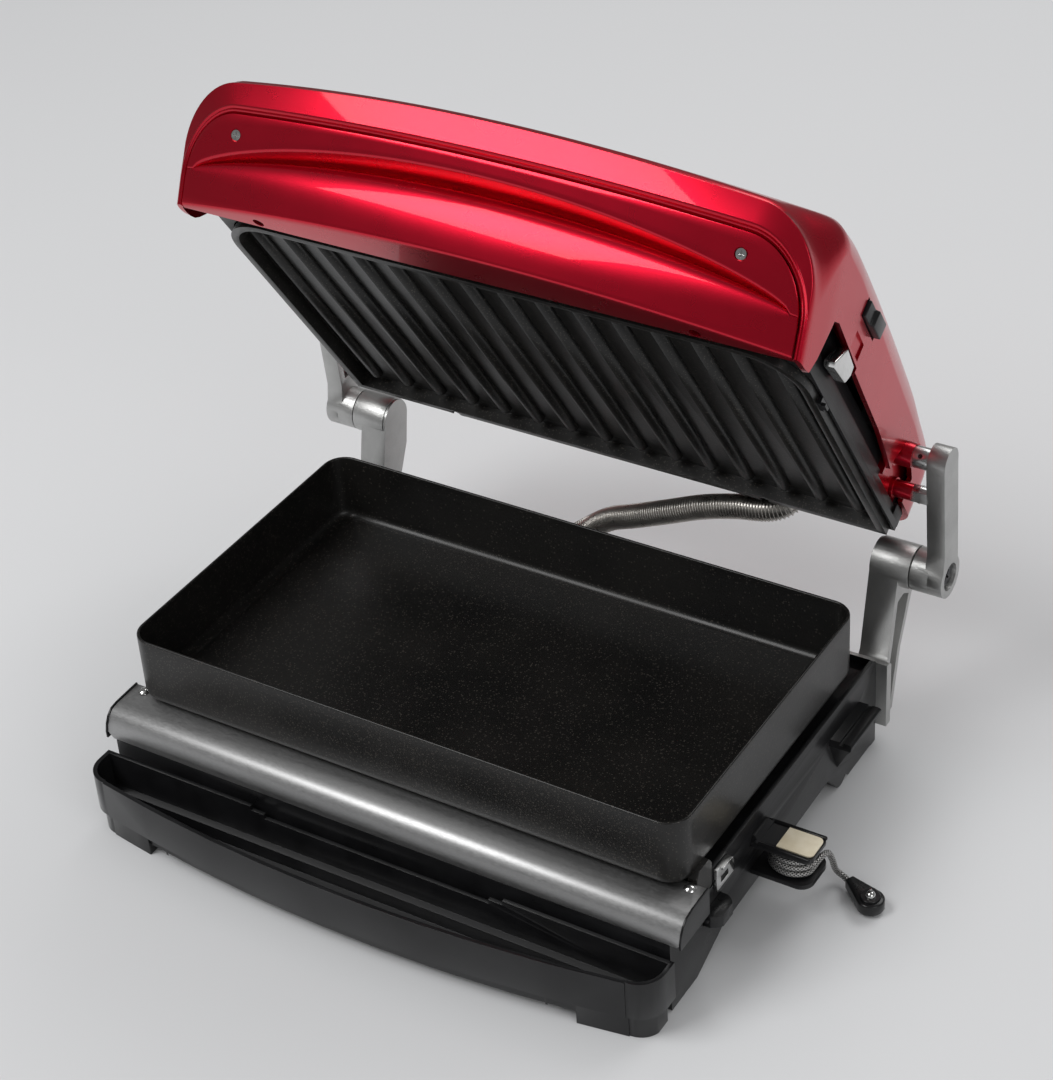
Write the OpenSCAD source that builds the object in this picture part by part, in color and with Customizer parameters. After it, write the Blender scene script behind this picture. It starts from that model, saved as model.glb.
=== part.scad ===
/* [Base] */
// Half width of the lower housing over its side cheeks
base_half_w = 162; // [161.8:0.1:162.2]
// Height of the deck that carries the lower reflector
deck_z = 50; // [49.5:0.1:50]
// Height of the raised bead round the deck
bead_z = 56; // [55.8:0.1:56.2]
// Half width of the rolled steel front trim
trim_half_w = 167; // [166.8:0.1:167.2]

/* [Bake pan] */
// Half width of the deep pan over its rim
pan_half_w = 159; // [158.5:0.1:159]
// Front face of the pan, measured back from the lower lip of the trim
pan_front = 17.5; // [17.5:0.1:18]
// Rear face of the pan
pan_rear = 205.5; // [205:0.1:205.5]
// Underside of the pan
pan_bottom = 58; // [58:0.1:58.4]
// Height of the pan's rim
pan_rim = 98.3; // [98:0.1:98.3]
// Corner radius of the pan in plan
pan_corner = 12.5; // [11:0.5:13]
// Sheet thickness of the pan
pan_wall = 1.8; // [1.6:0.1:2]

/* [Drip tray] */
// Half width of the tray
tray_half_w = 166; // [165:0.5:166]
// Height of the tray's rim
tray_rim = 36.5; // [36:0.1:37]
// Height of the tray's floor above the table
tray_foot = 6; // [5.5:0.1:6]
// How far the middle of the bowed front stands before the trim
tray_reach = 38.5; // [38:0.1:39]

/* [Hinge] */
// Depth of the lower pivot
pivot_y = 250.2; // [250:0.1:250.4]
// Height of the lower pivot
pivot_z = 97.2; // [97:0.1:97.4]
// Depth of the upper pivot
float_y = 244.5; // [244.4:0.1:244.6]
// Height of the upper pivot
float_z = 168.8; // [168.7:0.1:168.9]
// Radius of the pivot pins
pin_r = 4; // [3.9:0.1:4]

/* [Lid] */
// Opening angle of the lid as it stands
lid_angle = 56.8; // [56.6:0.1:57]
// Depth of the ribbed plate's rear edge
lid_y = 233.9; // [233.8:0.1:234]
// Height of the ribbed plate's rear edge
lid_z = 124.7; // [124.6:0.1:124.8]
// Half width of the cover at its front
cover_front_w = 170.4; // [170:0.1:170.6]
// Half width of the cover at its rear
cover_rear_w = 163; // [162.8:0.1:163.4]
// Wall of the cover
cover_wall = 2.6; // [2.4:0.1:2.8]
// Height of the dome above the plate's rim
dome_h = 82.4; // [82:0.1:83]
// Radius between the cover's top and sides
dome_r = 34; // [32:1:36]

/* [Ribbed plate] */
// Half width of the plate
plate_half_w = 160.5; // [160:0.1:160.5]
// Depth of the plate from rear to front
plate_depth = 188; // [187:0.5:188]
// Number of searing ribs
rib_count = 15; // [11:2:15]
// Distance between the ribs
rib_pitch = 20.8; // [20:0.1:21]
// Width of a rib
rib_w = 7; // [6:0.5:7.5]

/* [Probe and hose] */
// Diameter of the braided probe cable
cable_d = 3.2; // [3:0.1:3.4]
// Turns of the probe cable on its cleat
cable_turns = 2.5; // [2.5:1:2.5]
// Rise of the cable from one turn to the next
cable_rise = 3.9; // [3.8:0.1:4]
// Outside diameter of the ribbed steel hose
hose_d = 13.6; // [13:0.2:14]
// Ribs of the hose over its whole length
hose_ribs = 128; // [112:8:144]

/* [Hidden] */
$fn = 48;
origin_y = 130.9;
slop = 0.05;
front_lean = 29.4;
cover_rear_s = -27;
cover_corner = 21;
cover_len = 263;
pan_edge = 7;
tray_r = 908;
cheek_in = base_half_w - 2.5;
well_half_w = 143;
rail_x = 100;
element_z = 43;
cleat_y = 90.5;
cleat_x = 179;
bail_y = 180.5;
bail_z = 8;
gland_s = -16.62;
gland_h = 25.95;
hose_route = [
    [-45, 230, 40], [-45, 244, 40], [-44, 258, 41], [-30, 263, 52], [-14, 257, 66],
    [6, 249, 79], [28, 245, 91], [51, 243.8, 102], [71, 243.6, 108.6], [86, 244.4, 111.2],
    [95.2, 247.4, 113.5], [99.5, 252.8, 117.25], [99.5, 264.5, 124.9]
];
lead_route = [
    [189.5, 93.7, 27.4], [189.5, 98, 27.4], [189.8, 103, 27.2], [190.3, 108, 24.5],
    [190.8, 111.2, 18], [191, 113.6, 11], [191.5, 116, 6.4], [195, 115.6, 5], [199, 113.4, 5]
];

// Frames: the fit frame stands on the table, the lid frame lies in the plate's rim plane
module place() {
    translate([0, -origin_y, 0]) children();
}

module in_lid() {
    place() translate([0, lid_y, lid_z]) rotate([-lid_angle, 0, 0]) mirror([0, 1, 0]) children();
}

module both_sides() {
    children();
    mirror([1, 0, 0]) children();
}

module along_x(x0, x1) {
    translate([x0, 0, 0]) rotate([90, 0, 90]) linear_extrude(x1 - x0) children();
}

module rod_x(x0, x1, r) {
    translate([x0, 0, 0]) rotate([0, 90, 0]) cylinder(r = r, h = x1 - x0);
}

module block(x0, x1, y0, y1, z0, z1) {
    translate([x0, y0, z0]) cube([x1 - x0, y1 - y0, z1 - z0]);
}

// Points of an arc about a centre, from one angle to another
function arc(cx, cy, r, a0, a1, n) =
    [for (i = [0 : n]) let (a = a0 + (a1 - a0) * i / n) [cx + r * cos(a), cy + r * sin(a)]];

function unit(v) = v / norm(v);

// Smooth curve through a list of points, with a number of steps between two of them
function knot(p, i) =
    i < 0 ? 2 * p[0] - p[1] :
    i >= len(p) ? 2 * p[len(p) - 1] - p[len(p) - 2] : p[i];

function between(a, b, c, d, t) =
    0.5 * (2 * b + (c - a) * t + (2 * a - 5 * b + 4 * c - d) * t * t
    + (3 * b - a - 3 * c + d) * t * t * t);

function smooth(p, n) = concat(
    [for (i = [0 : len(p) - 2], k = [0 : n - 1])
        between(knot(p, i - 1), p[i], p[i + 1], knot(p, i + 2), k / n)],
    [p[len(p) - 1]]
);

// Points at even distances along a path
function reach(p, i, d) =
    i >= len(p) - 1 ? [d] : concat([d], reach(p, i + 1, d + norm(p[i + 1] - p[i])));

function evenly(p, n) =
    let (
        d = reach(p, 0, 0),
        axes = [for (k = [0 : 2]) [for (j = [0 : len(p) - 1]) [d[j], p[j][k]]]]
    )
    [for (i = [0 : n]) [for (k = [0 : 2]) lookup(d[len(p) - 1] * i / n, axes[k])]];

// Rings of a tube carried along a path without twist
function headings(p) =
    [for (i = [0 : len(p) - 1]) unit(p[min(i + 1, len(p) - 1)] - p[max(i - 1, 0)])];

function carried(t, i, n) =
    i >= len(t) ? [] : let (m = unit(n - (n * t[i]) * t[i])) concat([m], carried(t, i + 1, m));

function rings(p, r, sides, up) =
    let (t = headings(p), m = carried(t, 0, up))
    [for (i = [0 : len(p) - 1], k = [0 : sides - 1])
        p[i] + r[i] * (cos(360 * k / sides) * m[i] + sin(360 * k / sides) * cross(t[i], m[i]))];

function skin(first, count, sides, flip) = [
    for (i = [0 : count - 2], k = [0 : sides - 1], h = [0, 1])
        let (
            a = first + i * sides + k,
            b = first + i * sides + (k + 1) % sides,
            f = h == 0 ? [a, a + sides, b + sides] : [a, b + sides, b]
        )
        flip ? [f[2], f[1], f[0]] : f
];

module tube(path, r, sides, up) {
    n = len(path);
    last = (n - 1) * sides;
    polyhedron(
        rings(path, [for (p = path) r], sides, up),
        concat(
            skin(0, n, sides, false),
            [for (k = [1 : sides - 2]) [0, k, k + 1]],
            [for (k = [1 : sides - 2]) [last, last + k + 1, last + k]]
        )
    );
}

// Hose of ribs with a bore, whose inner rings are every fourth outer one
module ribbed_tube(path, radii, bore, sides, up) {
    n = len(path);
    inner = [for (i = [0 : 4 : n - 1]) path[i]];
    m = len(inner);
    base = n * sides;
    last = (n - 1) * sides;
    inner_last = base + (m - 1) * sides;
    polyhedron(
        concat(
            rings(path, radii, sides, up),
            rings(inner, [for (p = inner) bore], sides, up)
        ),
        concat(
            skin(0, n, sides, false),
            skin(base, m, sides, true),
            [for (k = [0 : sides - 1], h = [0, 1]) let (j = (k + 1) % sides)
                h == 0 ? [k, j, base + j] : [k, base + j, base + k]],
            [for (k = [0 : sides - 1], h = [0, 1]) let (j = (k + 1) % sides)
                h == 0 ? [last + j, last + k, inner_last + k]
                : [last + j, inner_last + k, inner_last + j]]
        )
    );
}

// Box with round plan corners and a rounded lower edge
module tub(w, y0, y1, z0, z1, rc, re) {
    intersection() {
        union() {
            rotate([90, 0, 90]) translate([0, 0, rc - w])
                linear_extrude(2 * (w - rc)) tub_outline(y0, y1, z0, z1, re);
            translate([0, y1 - rc, 0]) rotate([90, 0, 0])
                linear_extrude(y1 - y0 - 2 * rc) tub_outline(-w, w, z0, z1, re);
            for (x = [-1, 1], y = [y0 + rc, y1 - rc]) {
                translate([x * (w - rc), y, 0]) rotate_extrude() intersection() {
                    tub_outline(-rc, rc, z0, z1, re);
                    translate([0, z0 - 1]) square([rc, z1 - z0 + 2]);
                }
            }
        }
        block(-w, w, y0, y1, z0, z1);
    }
}

module tub_outline(a0, a1, z0, z1, re) {
    polygon(concat(
        [[a1, z1], [a0, z1]],
        arc(a0 + re, z0 + re, re, 180, 270, 12),
        arc(a1 - re, z0 + re, re, 270, 360, 12)
    ));
}

// Lower housing
function cheek_outline() = concat(
    [[0, 0.8], [25, 0.8], [51, 12], [166, 15]],
    arc(bail_y, bail_z, 6.8, 200, 330, 14),
    [[189.5, 1.5], [215.5, 1.5], [217, 0.8], [222, 0.8]],
    arc(216, bead_z - 6, 6, 0, 90, 10),
    [[27.8, bead_z], [27.6, 55.4], [9, 55], [5.4, 53], [3.4, 49], [3, 42.4], [0, 42.4]]
);

module side_grip() {
    intersection() {
        along_x(159, 174) polygon([[166.5, 38], [168, 41], [202, 41], [203.5, 38], [176, 17]]);
        translate([0, 210, 0]) rotate([90, 0, 0]) linear_extrude(50)
            polygon([[159, 15], [162.4, 17], [171, 34], [174, 38.4], [174, 40], [173, 41],
                [169.4, 41], [169.4, 39.6], [167.2, 39.6], [167.2, 41], [159, 41]]);
    }
}

module base_housing() color([0.1, 0.1, 0.11]) place() {
    difference() {
        union() {
            difference() {
                along_x(-base_half_w, base_half_w) polygon(cheek_outline());
                block(-cheek_in, cheek_in, 5.6, 219.5, -1, deck_z - 2.5);
                block(-cheek_in, cheek_in, -1, 6, -1, 14);
                block(-cheek_in, cheek_in, 216, 223, -1, 3);
                block(-base_half_w + 2, base_half_w - 2, 28, 219.6, deck_z, 60);
            }
            both_sides() {
                side_grip();
                block(150, cheek_in + 1, 3.2, 24.5, 2, 15);
                block(153, cheek_in + 1, 214, 221, 2, 15);
                translate([0, bail_y, bail_z]) rod_x(155.2, cheek_in + 1, 6.6);
                for (y = [60, 150]) block(145.8, 151, y, y + 14, deck_z - 1, pan_bottom - slop);
            }
        }
        block(-well_half_w, well_half_w, 33, 197, 40, 60);
        both_sides() block(156.4, 170, 26.6, 42.4, 45.6, 58);
        block(155, 170, 31.6, 50.4, 27.6, 35.4);
        both_sides() {
            translate([160, 24, 40]) cylinder(r = 1.65, h = 20);
            translate([0, bail_y, bail_z]) rod_x(150, 160.4, 2.1);
        }
        translate([162, 93.5, 37.15]) rotate([0, -90, 0])
            cylinder(r = cable_d / 2 + 0.3, h = 10);
        for (x = [-45, 100]) translate([x, 230, x < 0 ? 40 : 30]) rotate([90, 0, 0])
            cylinder(r = x < 0 ? 7 : 5.6, h = 14);
        for (x = [-1, 1], z = [20, 42]) translate([x * 143.5, 230, z])
            rotate([90, 0, 0]) cylinder(r = 1.65, h = 12);
    }
}

module bottom_cover() color([0.16, 0.16, 0.17]) place() difference() {
    union() {
        block(-cheek_in + 0.2, cheek_in - 0.2, 28, 213.6, 15.05, 17.4);
        block(-148, 148, 213, 219.3, 15.05, 17.4);
        both_sides() block(rail_x - 8, rail_x + 8, 20, 130, 1.4, 15.5);
        for (x = [-60 : 30 : 60]) block(x - 1, x + 1, 40, 200, 13, 16);
    }
    both_sides() {
        block(rail_x - 5.4, rail_x + 5.4, 10, 126, 2.7, 9.3);
        block(rail_x - 2.5, rail_x + 2.5, 10, 126, 0, 3);
    }
    for (x = [-110 : 10 : 110]) if (abs(x) < 90 && x % 30 != 0) block(x - 1.5, x + 1.5, 150, 185, 14, 18);
    both_sides() block(cheek_in - 8, cheek_in + 1, 170, 190, 10, 18);
}

// Rolled trim over the base's front edge
function trim_outer() = concat(
    [[0, 42.7], [0, 46], [1, 50.2], [3, 54], [6.4, 56.6], [11, 57.4], [27.4, 57.8]]
);

function trim_inner() = [
    [27.4, 56.6], [11.2, 56.2], [7.1, 55.5], [4.1, 53.2], [2.2, 49.8], [1.2, 45.8], [1.2, 42.7]
];

module front_trim() color([0.75, 0.75, 0.74]) place() difference() {
    along_x(-trim_half_w, trim_half_w) polygon(concat(trim_outer(), trim_inner()));
    both_sides() translate([160, 24, 40]) cylinder(r = 1.65, h = 20);
    translate([-trim_half_w, -1, 42]) rotate([0, 45, 0]) cube([6, 8, 6], center = true);
    translate([trim_half_w, -1, 42]) rotate([0, 45, 0]) cube([3, 8, 3], center = true);
}

module trim_end_caps() color([0.08, 0.08, 0.08]) place() both_sides() {
    along_x(trim_half_w + slop, trim_half_w + 1.2) polygon(concat(
        [[-0.6, 42.2], [-0.6, 46.2], [0.5, 50.5], [2.6, 54.4], [6.2, 57.2], [11, 58], [27.8, 58.4]],
        [[27.8, 42.2]]
    ));
    along_x(base_half_w + slop, trim_half_w + 0.5) polygon([
        [26, 56.5], [11.2, 56.1], [7.2, 55.4], [4.2, 53.1], [2.3, 49.8], [1.3, 45.8],
        [1.3, 42.8], [26, 42.8]
    ]);
}

module trim_rivets() color([0.85, 0.85, 0.85]) place() both_sides() {
    translate([160, 24, 0]) rotate_extrude() polygon(concat(
        [[0, 52], [1.6, 52], [1.6, 57.85]],
        arc(0, 55.6, 3.9, 35, 90, 8)
    ));
}

// Heating parts of the base
module lower_reflector() color([0.7, 0.7, 0.68]) place() difference() {
    union() {
        block(-145.6, 145.6, 30.5, 199.5, deck_z + slop, deck_z + 0.8);
        tub(well_half_w - 0.4, 33.4, 196.6, 26, deck_z + 0.8, 10, 5);
    }
    tub(well_half_w - 1.2, 34.2, 195.8, 26.8, deck_z + 5, 9.2, 4.2);
    for (x = [-1, 1]) translate([x * 25, 210, element_z]) rotate([90, 0, 0])
        cylinder(r = 3.6, h = 20);
}

module bent_rod(r) {
    for (x = [-1, 1]) {
        translate([x * 25, 175, 0]) rotate([-90, 0, 0]) cylinder(r = r, h = 32);
        translate([x * 43, 175, 0]) rotate([0, 0, x > 0 ? 180 : 270])
            rotate_extrude(angle = 90) translate([18, 0]) circle(r);
        translate([x > 0 ? 43 : -94, 157, 0]) rotate([0, 90, 0]) cylinder(r = r, h = 51);
        translate([x * 94, 113.5, 0]) rotate([0, 0, x > 0 ? -90 : 90])
            rotate_extrude(angle = 180) translate([43.5, 0]) circle(r);
    }
    translate([-94, 70, 0]) rotate([0, 90, 0]) cylinder(r = r, h = 188);
}

module lower_element() color([0.35, 0.34, 0.33]) place() translate([0, 0, element_z]) bent_rod(3.2);

module element_clips() color([0.7, 0.7, 0.7]) place() {
    for (x = [-70, 70], y = [70, 157]) difference() {
        block(x - 5, x + 5, y - 5, y + 5, 26.85, element_z - 0.2);
        translate([0, y, element_z]) rod_x(x - 6, x + 6, 3.25);
        block(x - 6, x + 6, y - 3.6, y + 3.6, 28, element_z - 4.4);
    }
}

module lower_thermostat() color([0.5, 0.5, 0.52]) place() {
    translate([60, 110, 17.5]) cylinder(r = 9, h = 3);
    translate([60, 110, 20.5]) cylinder(r = 6.5, h = 5.4);
}

module rubber_feet() color([0.12, 0.12, 0.12]) place() both_sides() {
    for (y = [[5, 20], [215.5, 220.5]]) difference() {
        block(y[0] < 9 ? 151.5 : 154, 158.6, y[0], y[1], 0, 1.98);
        block(153, 157, y[0] + 2, y[1] - 2, -1, 0.6);
    }
}

// Cast hinge arms
function arm_outline() = concat(
    [[227, 12], [236, 14], [240.5, 31], [244.5, 48], [251.5, 63], [258, 77]],
    arc(pivot_y, pivot_z, 11.2, -18, 186, 18),
    [[236.4, 84], [231.4, 60], [229.6, 52], [227, 48]]
);

function arm_pocket() = [
    [230.5, 20], [234, 20], [237.4, 34], [241.6, 50], [248.6, 65], [253.5, 77], [247, 81],
    [240, 80], [234.6, 56], [231.4, 44]
];

module hinge_arm() difference() {
    union() {
        along_x(149, 165) polygon(arm_outline());
        translate([0, pivot_y, pivot_z]) rod_x(150.5, 170.5, 11.8);
        along_x(138, 168) polygon([[222.05, 12], [227.2, 12], [227.2, 50], [225, 52], [222.05, 52]]);
    }
    along_x(158.5, 170) polygon(arm_pocket());
    translate([0, pivot_y, pivot_z]) {
        rod_x(152, 180, pin_r + slop);
        rod_x(169.2, 180, 8.7);
    }
    for (z = [20, 42]) translate([143.5, 230, z]) rotate([90, 0, 0]) cylinder(r = 1.65, h = 12);
}

module hinge_arm_left() color([0.72, 0.72, 0.71]) place() mirror([1, 0, 0]) hinge_arm();

module hinge_arm_right() color([0.72, 0.72, 0.71]) place() hinge_arm();

module arm_screws() color([0.6, 0.6, 0.6]) place() both_sides() {
    for (z = [20, 42]) translate([143.5, 0, z]) rotate([-90, 0, 0]) {
        translate([0, 0, 220]) cylinder(r = 1.6, h = 8);
        translate([0, 0, 227.25]) difference() {
            cylinder(r1 = 3.2, r2 = 2.4, h = 1.6);
            for (a = [0, 90]) rotate([0, 0, a])
                translate([-1.8, -0.35, 0.8]) cube([3.6, 0.7, 1]);
        }
    }
}

module lower_pivot_pins() color([0.8, 0.8, 0.8]) place() both_sides() {
    translate([0, pivot_y, pivot_z]) rod_x(152.1, 183.6, pin_r);
}

module pivot_screws() color([0.25, 0.25, 0.26]) place() both_sides() {
    translate([0, pivot_y, pivot_z]) difference() {
        rod_x(184, 186.8, 6.4);
        for (a = [45, 135]) rotate([a, 0, 0]) block(185.4, 188, -3.4, 3.4, -0.6, 0.6);
    }
    translate([0, pivot_y, pivot_z]) rod_x(183.65, 184, 3);
}

module pivot_washers() color([0.9, 0.9, 0.9]) place() both_sides() {
    translate([0, pivot_y, pivot_z]) difference() {
        rod_x(169.25, 171.2, 8.6);
        rod_x(168, 172, pin_r + slop);
    }
}

// Lower latch and its button on the right cheek
module lower_latch_clip() color([0.85, 0.85, 0.84]) place() difference() {
    union() {
        along_x(162.3, 163.9) polygon([
            [42.9, 41.3], [60.4, 41.6], [60, 48.8], [55.6, 54.4], [43, 54.6], [43, 50], [42.9, 46]
        ]);
        along_x(162.3, 165.8) polygon([
            [46, 53.4], [56.3, 53.2], [55.4, 54.6], [46, 54.7]
        ]);
    }
    along_x(160, 170) polygon([[47, 44], [54.6, 44], [54.2, 47.6], [47, 47.8]]);
}

module lower_release_button() color([0.13, 0.13, 0.14]) place() {
    intersection() {
        block(158.8, 170.6, 32, 50, 28, 35);
        translate([0, 41, 0]) rotate([0, 90, 0]) translate([-31.5, 0, 0])
            cylinder(r = 9.6, h = 180);
        translate([162.4, 41, 0]) cylinder(r = 9.4, h = 60);
    }
    block(156.2, 159.2, 30.4, 51.6, 26.4, 36.6);
}

// Cleat that carries the probe cable
module flange_shape(x0, x1, y0, y1, r) {
    difference() {
        translate([x0, y0]) square([x1 - x0, y1 - y0]);
        for (s = [0, 1]) translate([x1 - r, s == 0 ? y0 + r : y1 - r])
            mirror([0, s]) difference() {
                translate([0, -r - 1]) square([r + 1, r + 1]);
                circle(r);
            }
    }
}

module probe_bracket() color([0.11, 0.11, 0.12]) place() difference() {
    union() {
        translate([0, 0, 22.4]) linear_extrude(2.6) flange_shape(162.05, 193, 80, 105, 7);
        translate([0, 0, 40]) linear_extrude(2) flange_shape(162.05, 194, 80, 100.5, 4);
        for (y = [81.2, 99.3]) {
            translate([0, y, 42]) rod_x(164, 192.6, 1.15);
            translate([192.6, y, 42]) sphere(1.15);
        }
        translate([cleat_x, cleat_y, 24]) linear_extrude(17) union() {
            translate([3, 0]) circle(5.2);
            translate([-3, 0]) circle(5.2);
            translate([-3, -5.2]) square([6, 10.4]);
        }
        along_x(162.05, 166) polygon([[81, 42], [99, 42], [97, 44.6], [83, 44.6]]);
    }
    translate([0, 110, 0]) rotate([90, 0, 0]) linear_extrude(40)
        polygon([[163.2, 44.7], [166.1, 44.7], [166.1, 42.1]]);
    translate([cleat_x, cleat_y, 20]) cylinder(r = 1.8, h = 19);
}

module bracket_pad() color([0.9, 0.86, 0.76]) place() {
    translate([0, 0, 42 + slop]) linear_extrude(1.1) flange_shape(174.5, 193.4, 82.8, 97.8, 3);
}

// Cable wound on the cleat: an even rise over a rounded oval, then a bend into the cheek
function oval(t) = let (a = -360 * t)
    [cleat_x + 10.5 * cos(a), cleat_y + 8 * sin(a), 27.4 + cable_rise * t];

function cable_path() = concat(
    [[189.5, cleat_y + 3.2, 27.4], [189.5, cleat_y + 1.6, 27.4]],
    [for (i = [0 : 24 * cable_turns]) oval(i / 24)],
    let (e = oval(cable_turns))
        [for (a = [30 : 30 : 90]) [e.x - 3 * (1 - cos(a)), e.y + 3 * sin(a), e.z]],
    let (e = oval(cable_turns)) [[162.05, e.y + 3, e.z]]
);

module probe_cable() color([0.6, 0.6, 0.6]) place()
    tube(cable_path(), cable_d / 2, 6, [0, 0, 1]);

module probe_lead() color([0.6, 0.6, 0.6]) place()
    tube(smooth(lead_route, 5), cable_d / 2, 8, [0, 0, 1]);

// Probe: sleeve, two-tier paddle and steel tip, drawn along X and laid on the table
module in_probe() {
    place() translate([199.05, 113.4, 5]) rotate([0, 0, -28.8]) children();
}

module probe_handle() color([0.07, 0.07, 0.08]) in_probe() difference() {
    union() {
        rotate([0, 90, 0]) cylinder(r1 = 2.4, r2 = 3.6, h = 10);
        translate([9, 0, -3.4]) linear_extrude(6.6) union() {
            translate([8.4, 0]) circle(7);
            translate([0, -3.6]) square([9, 7.2]);
        }
        translate([17.4, 0, 3]) cylinder(r = 5, h = 1.4);
        translate([17.4, 0, -4.4]) cylinder(r = 5, h = 1.4);
    }
    translate([17.4, 0, -5]) cylinder(r = 1.25, h = 12);
    for (x = [2 : 2 : 8]) translate([x, 0, 0]) rotate([0, 90, 0]) difference() {
        cylinder(r = 5, h = 0.7);
        cylinder(r = 2.2 + x / 10, h = 0.7);
    }
}

module probe_tip() color([0.85, 0.85, 0.85]) in_probe() {
    translate([17.4, 0, 0]) {
        translate([0, 0, -4.8]) cylinder(r = 1.2, h = 9.2);
        translate([0, 0, 4.42]) rotate_extrude() intersection() {
            circle(2.6);
            square(3);
        }
        translate([0, 0, 6.6]) cylinder(r = 0.7, h = 2.4);
    }
}

module mains_gland() color([0.06, 0.06, 0.06]) place() translate([100, 0, 30])
    rotate([-90, 0, 0]) difference() {
        union() {
            translate([0, 0, 217]) cylinder(r = 5.5, h = 18);
            translate([0, 0, 222.05]) cylinder(r = 8, h = 3);
            translate([0, 0, 216.6]) cylinder(r = 7.4, h = 2.8);
        }
        translate([0, 0, 210]) cylinder(r = 3.4, h = 30);
    }

// Ribbed hose from the base to the lid
module conduit() color([0.62, 0.6, 0.57]) place() {
    path = evenly(smooth(hose_route, 8), 2 * hose_ribs);
    ribbed_tube(
        path,
        [for (i = [0 : len(path) - 1]) i % 2 == 0 ? hose_d / 2 - 0.7 : hose_d / 2],
        4.6, 8, [0, 0, 1]
    );
}

module conduit_gland_base() color([0.08, 0.08, 0.08]) place() translate([-45, 0, 40])
    rotate([-90, 0, 0]) difference() {
        union() {
            translate([0, 0, 222.05]) cylinder(r = 9.6, h = 2.4);
            translate([0, 0, 222.05]) cylinder(r = 8, h = 7.9);
            translate([0, 0, 218]) cylinder(r = 6.9, h = 5);
        }
        translate([0, 0, 210]) cylinder(r = 4.6, h = 30);
    }

module conduit_gland_lid() color([0.08, 0.08, 0.08]) in_lid()
    translate([99.5, gland_s, gland_h]) difference() {
        union() {
            cylinder(r = 6.6, h = 9);
            translate([0, 0, 1.2]) cylinder(r = 7.4, h = 2.4);
        }
        translate([0, 0, -1]) cylinder(r = 4.6, h = 12);
    }

// Wire bail that props up the rear of the base
module tilt_foot() color([0.1, 0.1, 0.1]) place() {
    both_sides() {
        translate([0, bail_y, bail_z]) {
            rod_x(150.2, 160, 2);
            rod_x(150.2, 154.6, 5.4);
        }
        along_x(150.2, 154.4) polygon([[179, 5], [181, 2.4], [213, 2.4], [213, 7], [181, 12]]);
    }
    along_x(-154.4, 154.4) polygon(concat(
        arc(208.8, 4.9, 2.5, 90, 270, 10), [[213.4, 2.4], [213.4, 7.4]]
    ));
}

// Deep bake pan with its side lugs
module bake_pan() color([0.14, 0.13, 0.12]) place() {
    difference() {
        tub(pan_half_w, pan_front, pan_rear, pan_bottom, pan_rim, pan_corner, pan_edge);
        tub(pan_half_w - pan_wall, pan_front + pan_wall, pan_rear - pan_wall,
            pan_bottom + pan_wall, pan_rim + 9, pan_corner - pan_wall, pan_edge - pan_wall);
    }
    both_sides() along_x(156.8, 161.8)
        polygon([[30, 64], [39.5, 64], [42, 60], [42, 47.5], [40.5, 46], [29.3, 46], [27.8, 47.5],
            [27.8, 60]]);
}

// Drip tray with a bowed front
module tray_plan(inset) {
    intersection() {
        translate([0, tray_r - tray_reach]) circle(tray_r - inset, $fn = 240);
        translate([-tray_half_w + inset, -50]) square([2 * (tray_half_w - inset), 47 - inset]);
        union() {
            for (x = [-1, 1]) translate([x * (tray_half_w - 14), -11]) circle(14 - inset);
            translate([-tray_half_w + 14, -50]) square([2 * tray_half_w - 28, 60]);
            translate([-tray_half_w + inset, -11]) square([2 * (tray_half_w - inset), 20]);
        }
    }
}

module drip_tray() color([0.09, 0.09, 0.1]) place() {
    difference() {
        union() {
            translate([0, 0, 14]) linear_extrude(tray_rim - 14) tray_plan(0);
            translate([0, 0, tray_foot]) linear_extrude(9) tray_plan(4);
            both_sides() intersection() {
                translate([0, 0, slop]) linear_extrude(14) tray_plan(2.4);
                block(126, 163, -40, -6, 0, 15);
            }
        }
        translate([0, 0, tray_foot + 2.2]) linear_extrude(9) tray_plan(6.2);
        translate([0, 0, 16.2]) linear_extrude(40) tray_plan(2.2);
        block(-66, 66, -7, 0, 31.5, 40);
        both_sides() block(66, 74, -7, 0, 34, 40);
    }
    both_sides() {
        block(rail_x - 5, rail_x + 5, -6.4, 60, 3, 9);
        block(rail_x - 5, rail_x + 5, -6.4, -3.2, 3, 16);
    }
    for (x = [-112, 112]) intersection() {
        block(x - 1, x + 1, -40, -30, 8, 15);
        translate([0, 0, 5]) linear_extrude(12) tray_plan(1.5);
    }
}

// Links of the double hinge
function link_outline() = concat(
    arc(pivot_y, pivot_z, 11.6, 142, 398, 22),
    [[258.6, 114], [254.5, 166]],
    arc(246.2, 168.6, 8.3, 0, 180, 14),
    [[238, 166], [242.6, 114]]
);

module link() difference() {
    union() {
        along_x(179, 188.8) polygon(link_outline());
        translate([0, pivot_y, pivot_z]) rod_x(171.25, 181, 11.6);
    }
    along_x(170, 182.6) polygon([[246.6, 118], [254.8, 118], [251, 153], [242.6, 153]]);
    translate([0, pivot_y, pivot_z]) {
        rod_x(170, 190, pin_r + slop);
        rod_x(183.8, 190, 7.5);
    }
    translate([0, float_y, float_z]) rod_x(170, 186, 3.55);
}

module link_left() color([0.74, 0.74, 0.73]) place() mirror([1, 0, 0]) link();

module link_right() color([0.74, 0.74, 0.73]) place() link();

stop_y = 242.7;
stop_z = 148.2;

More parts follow.
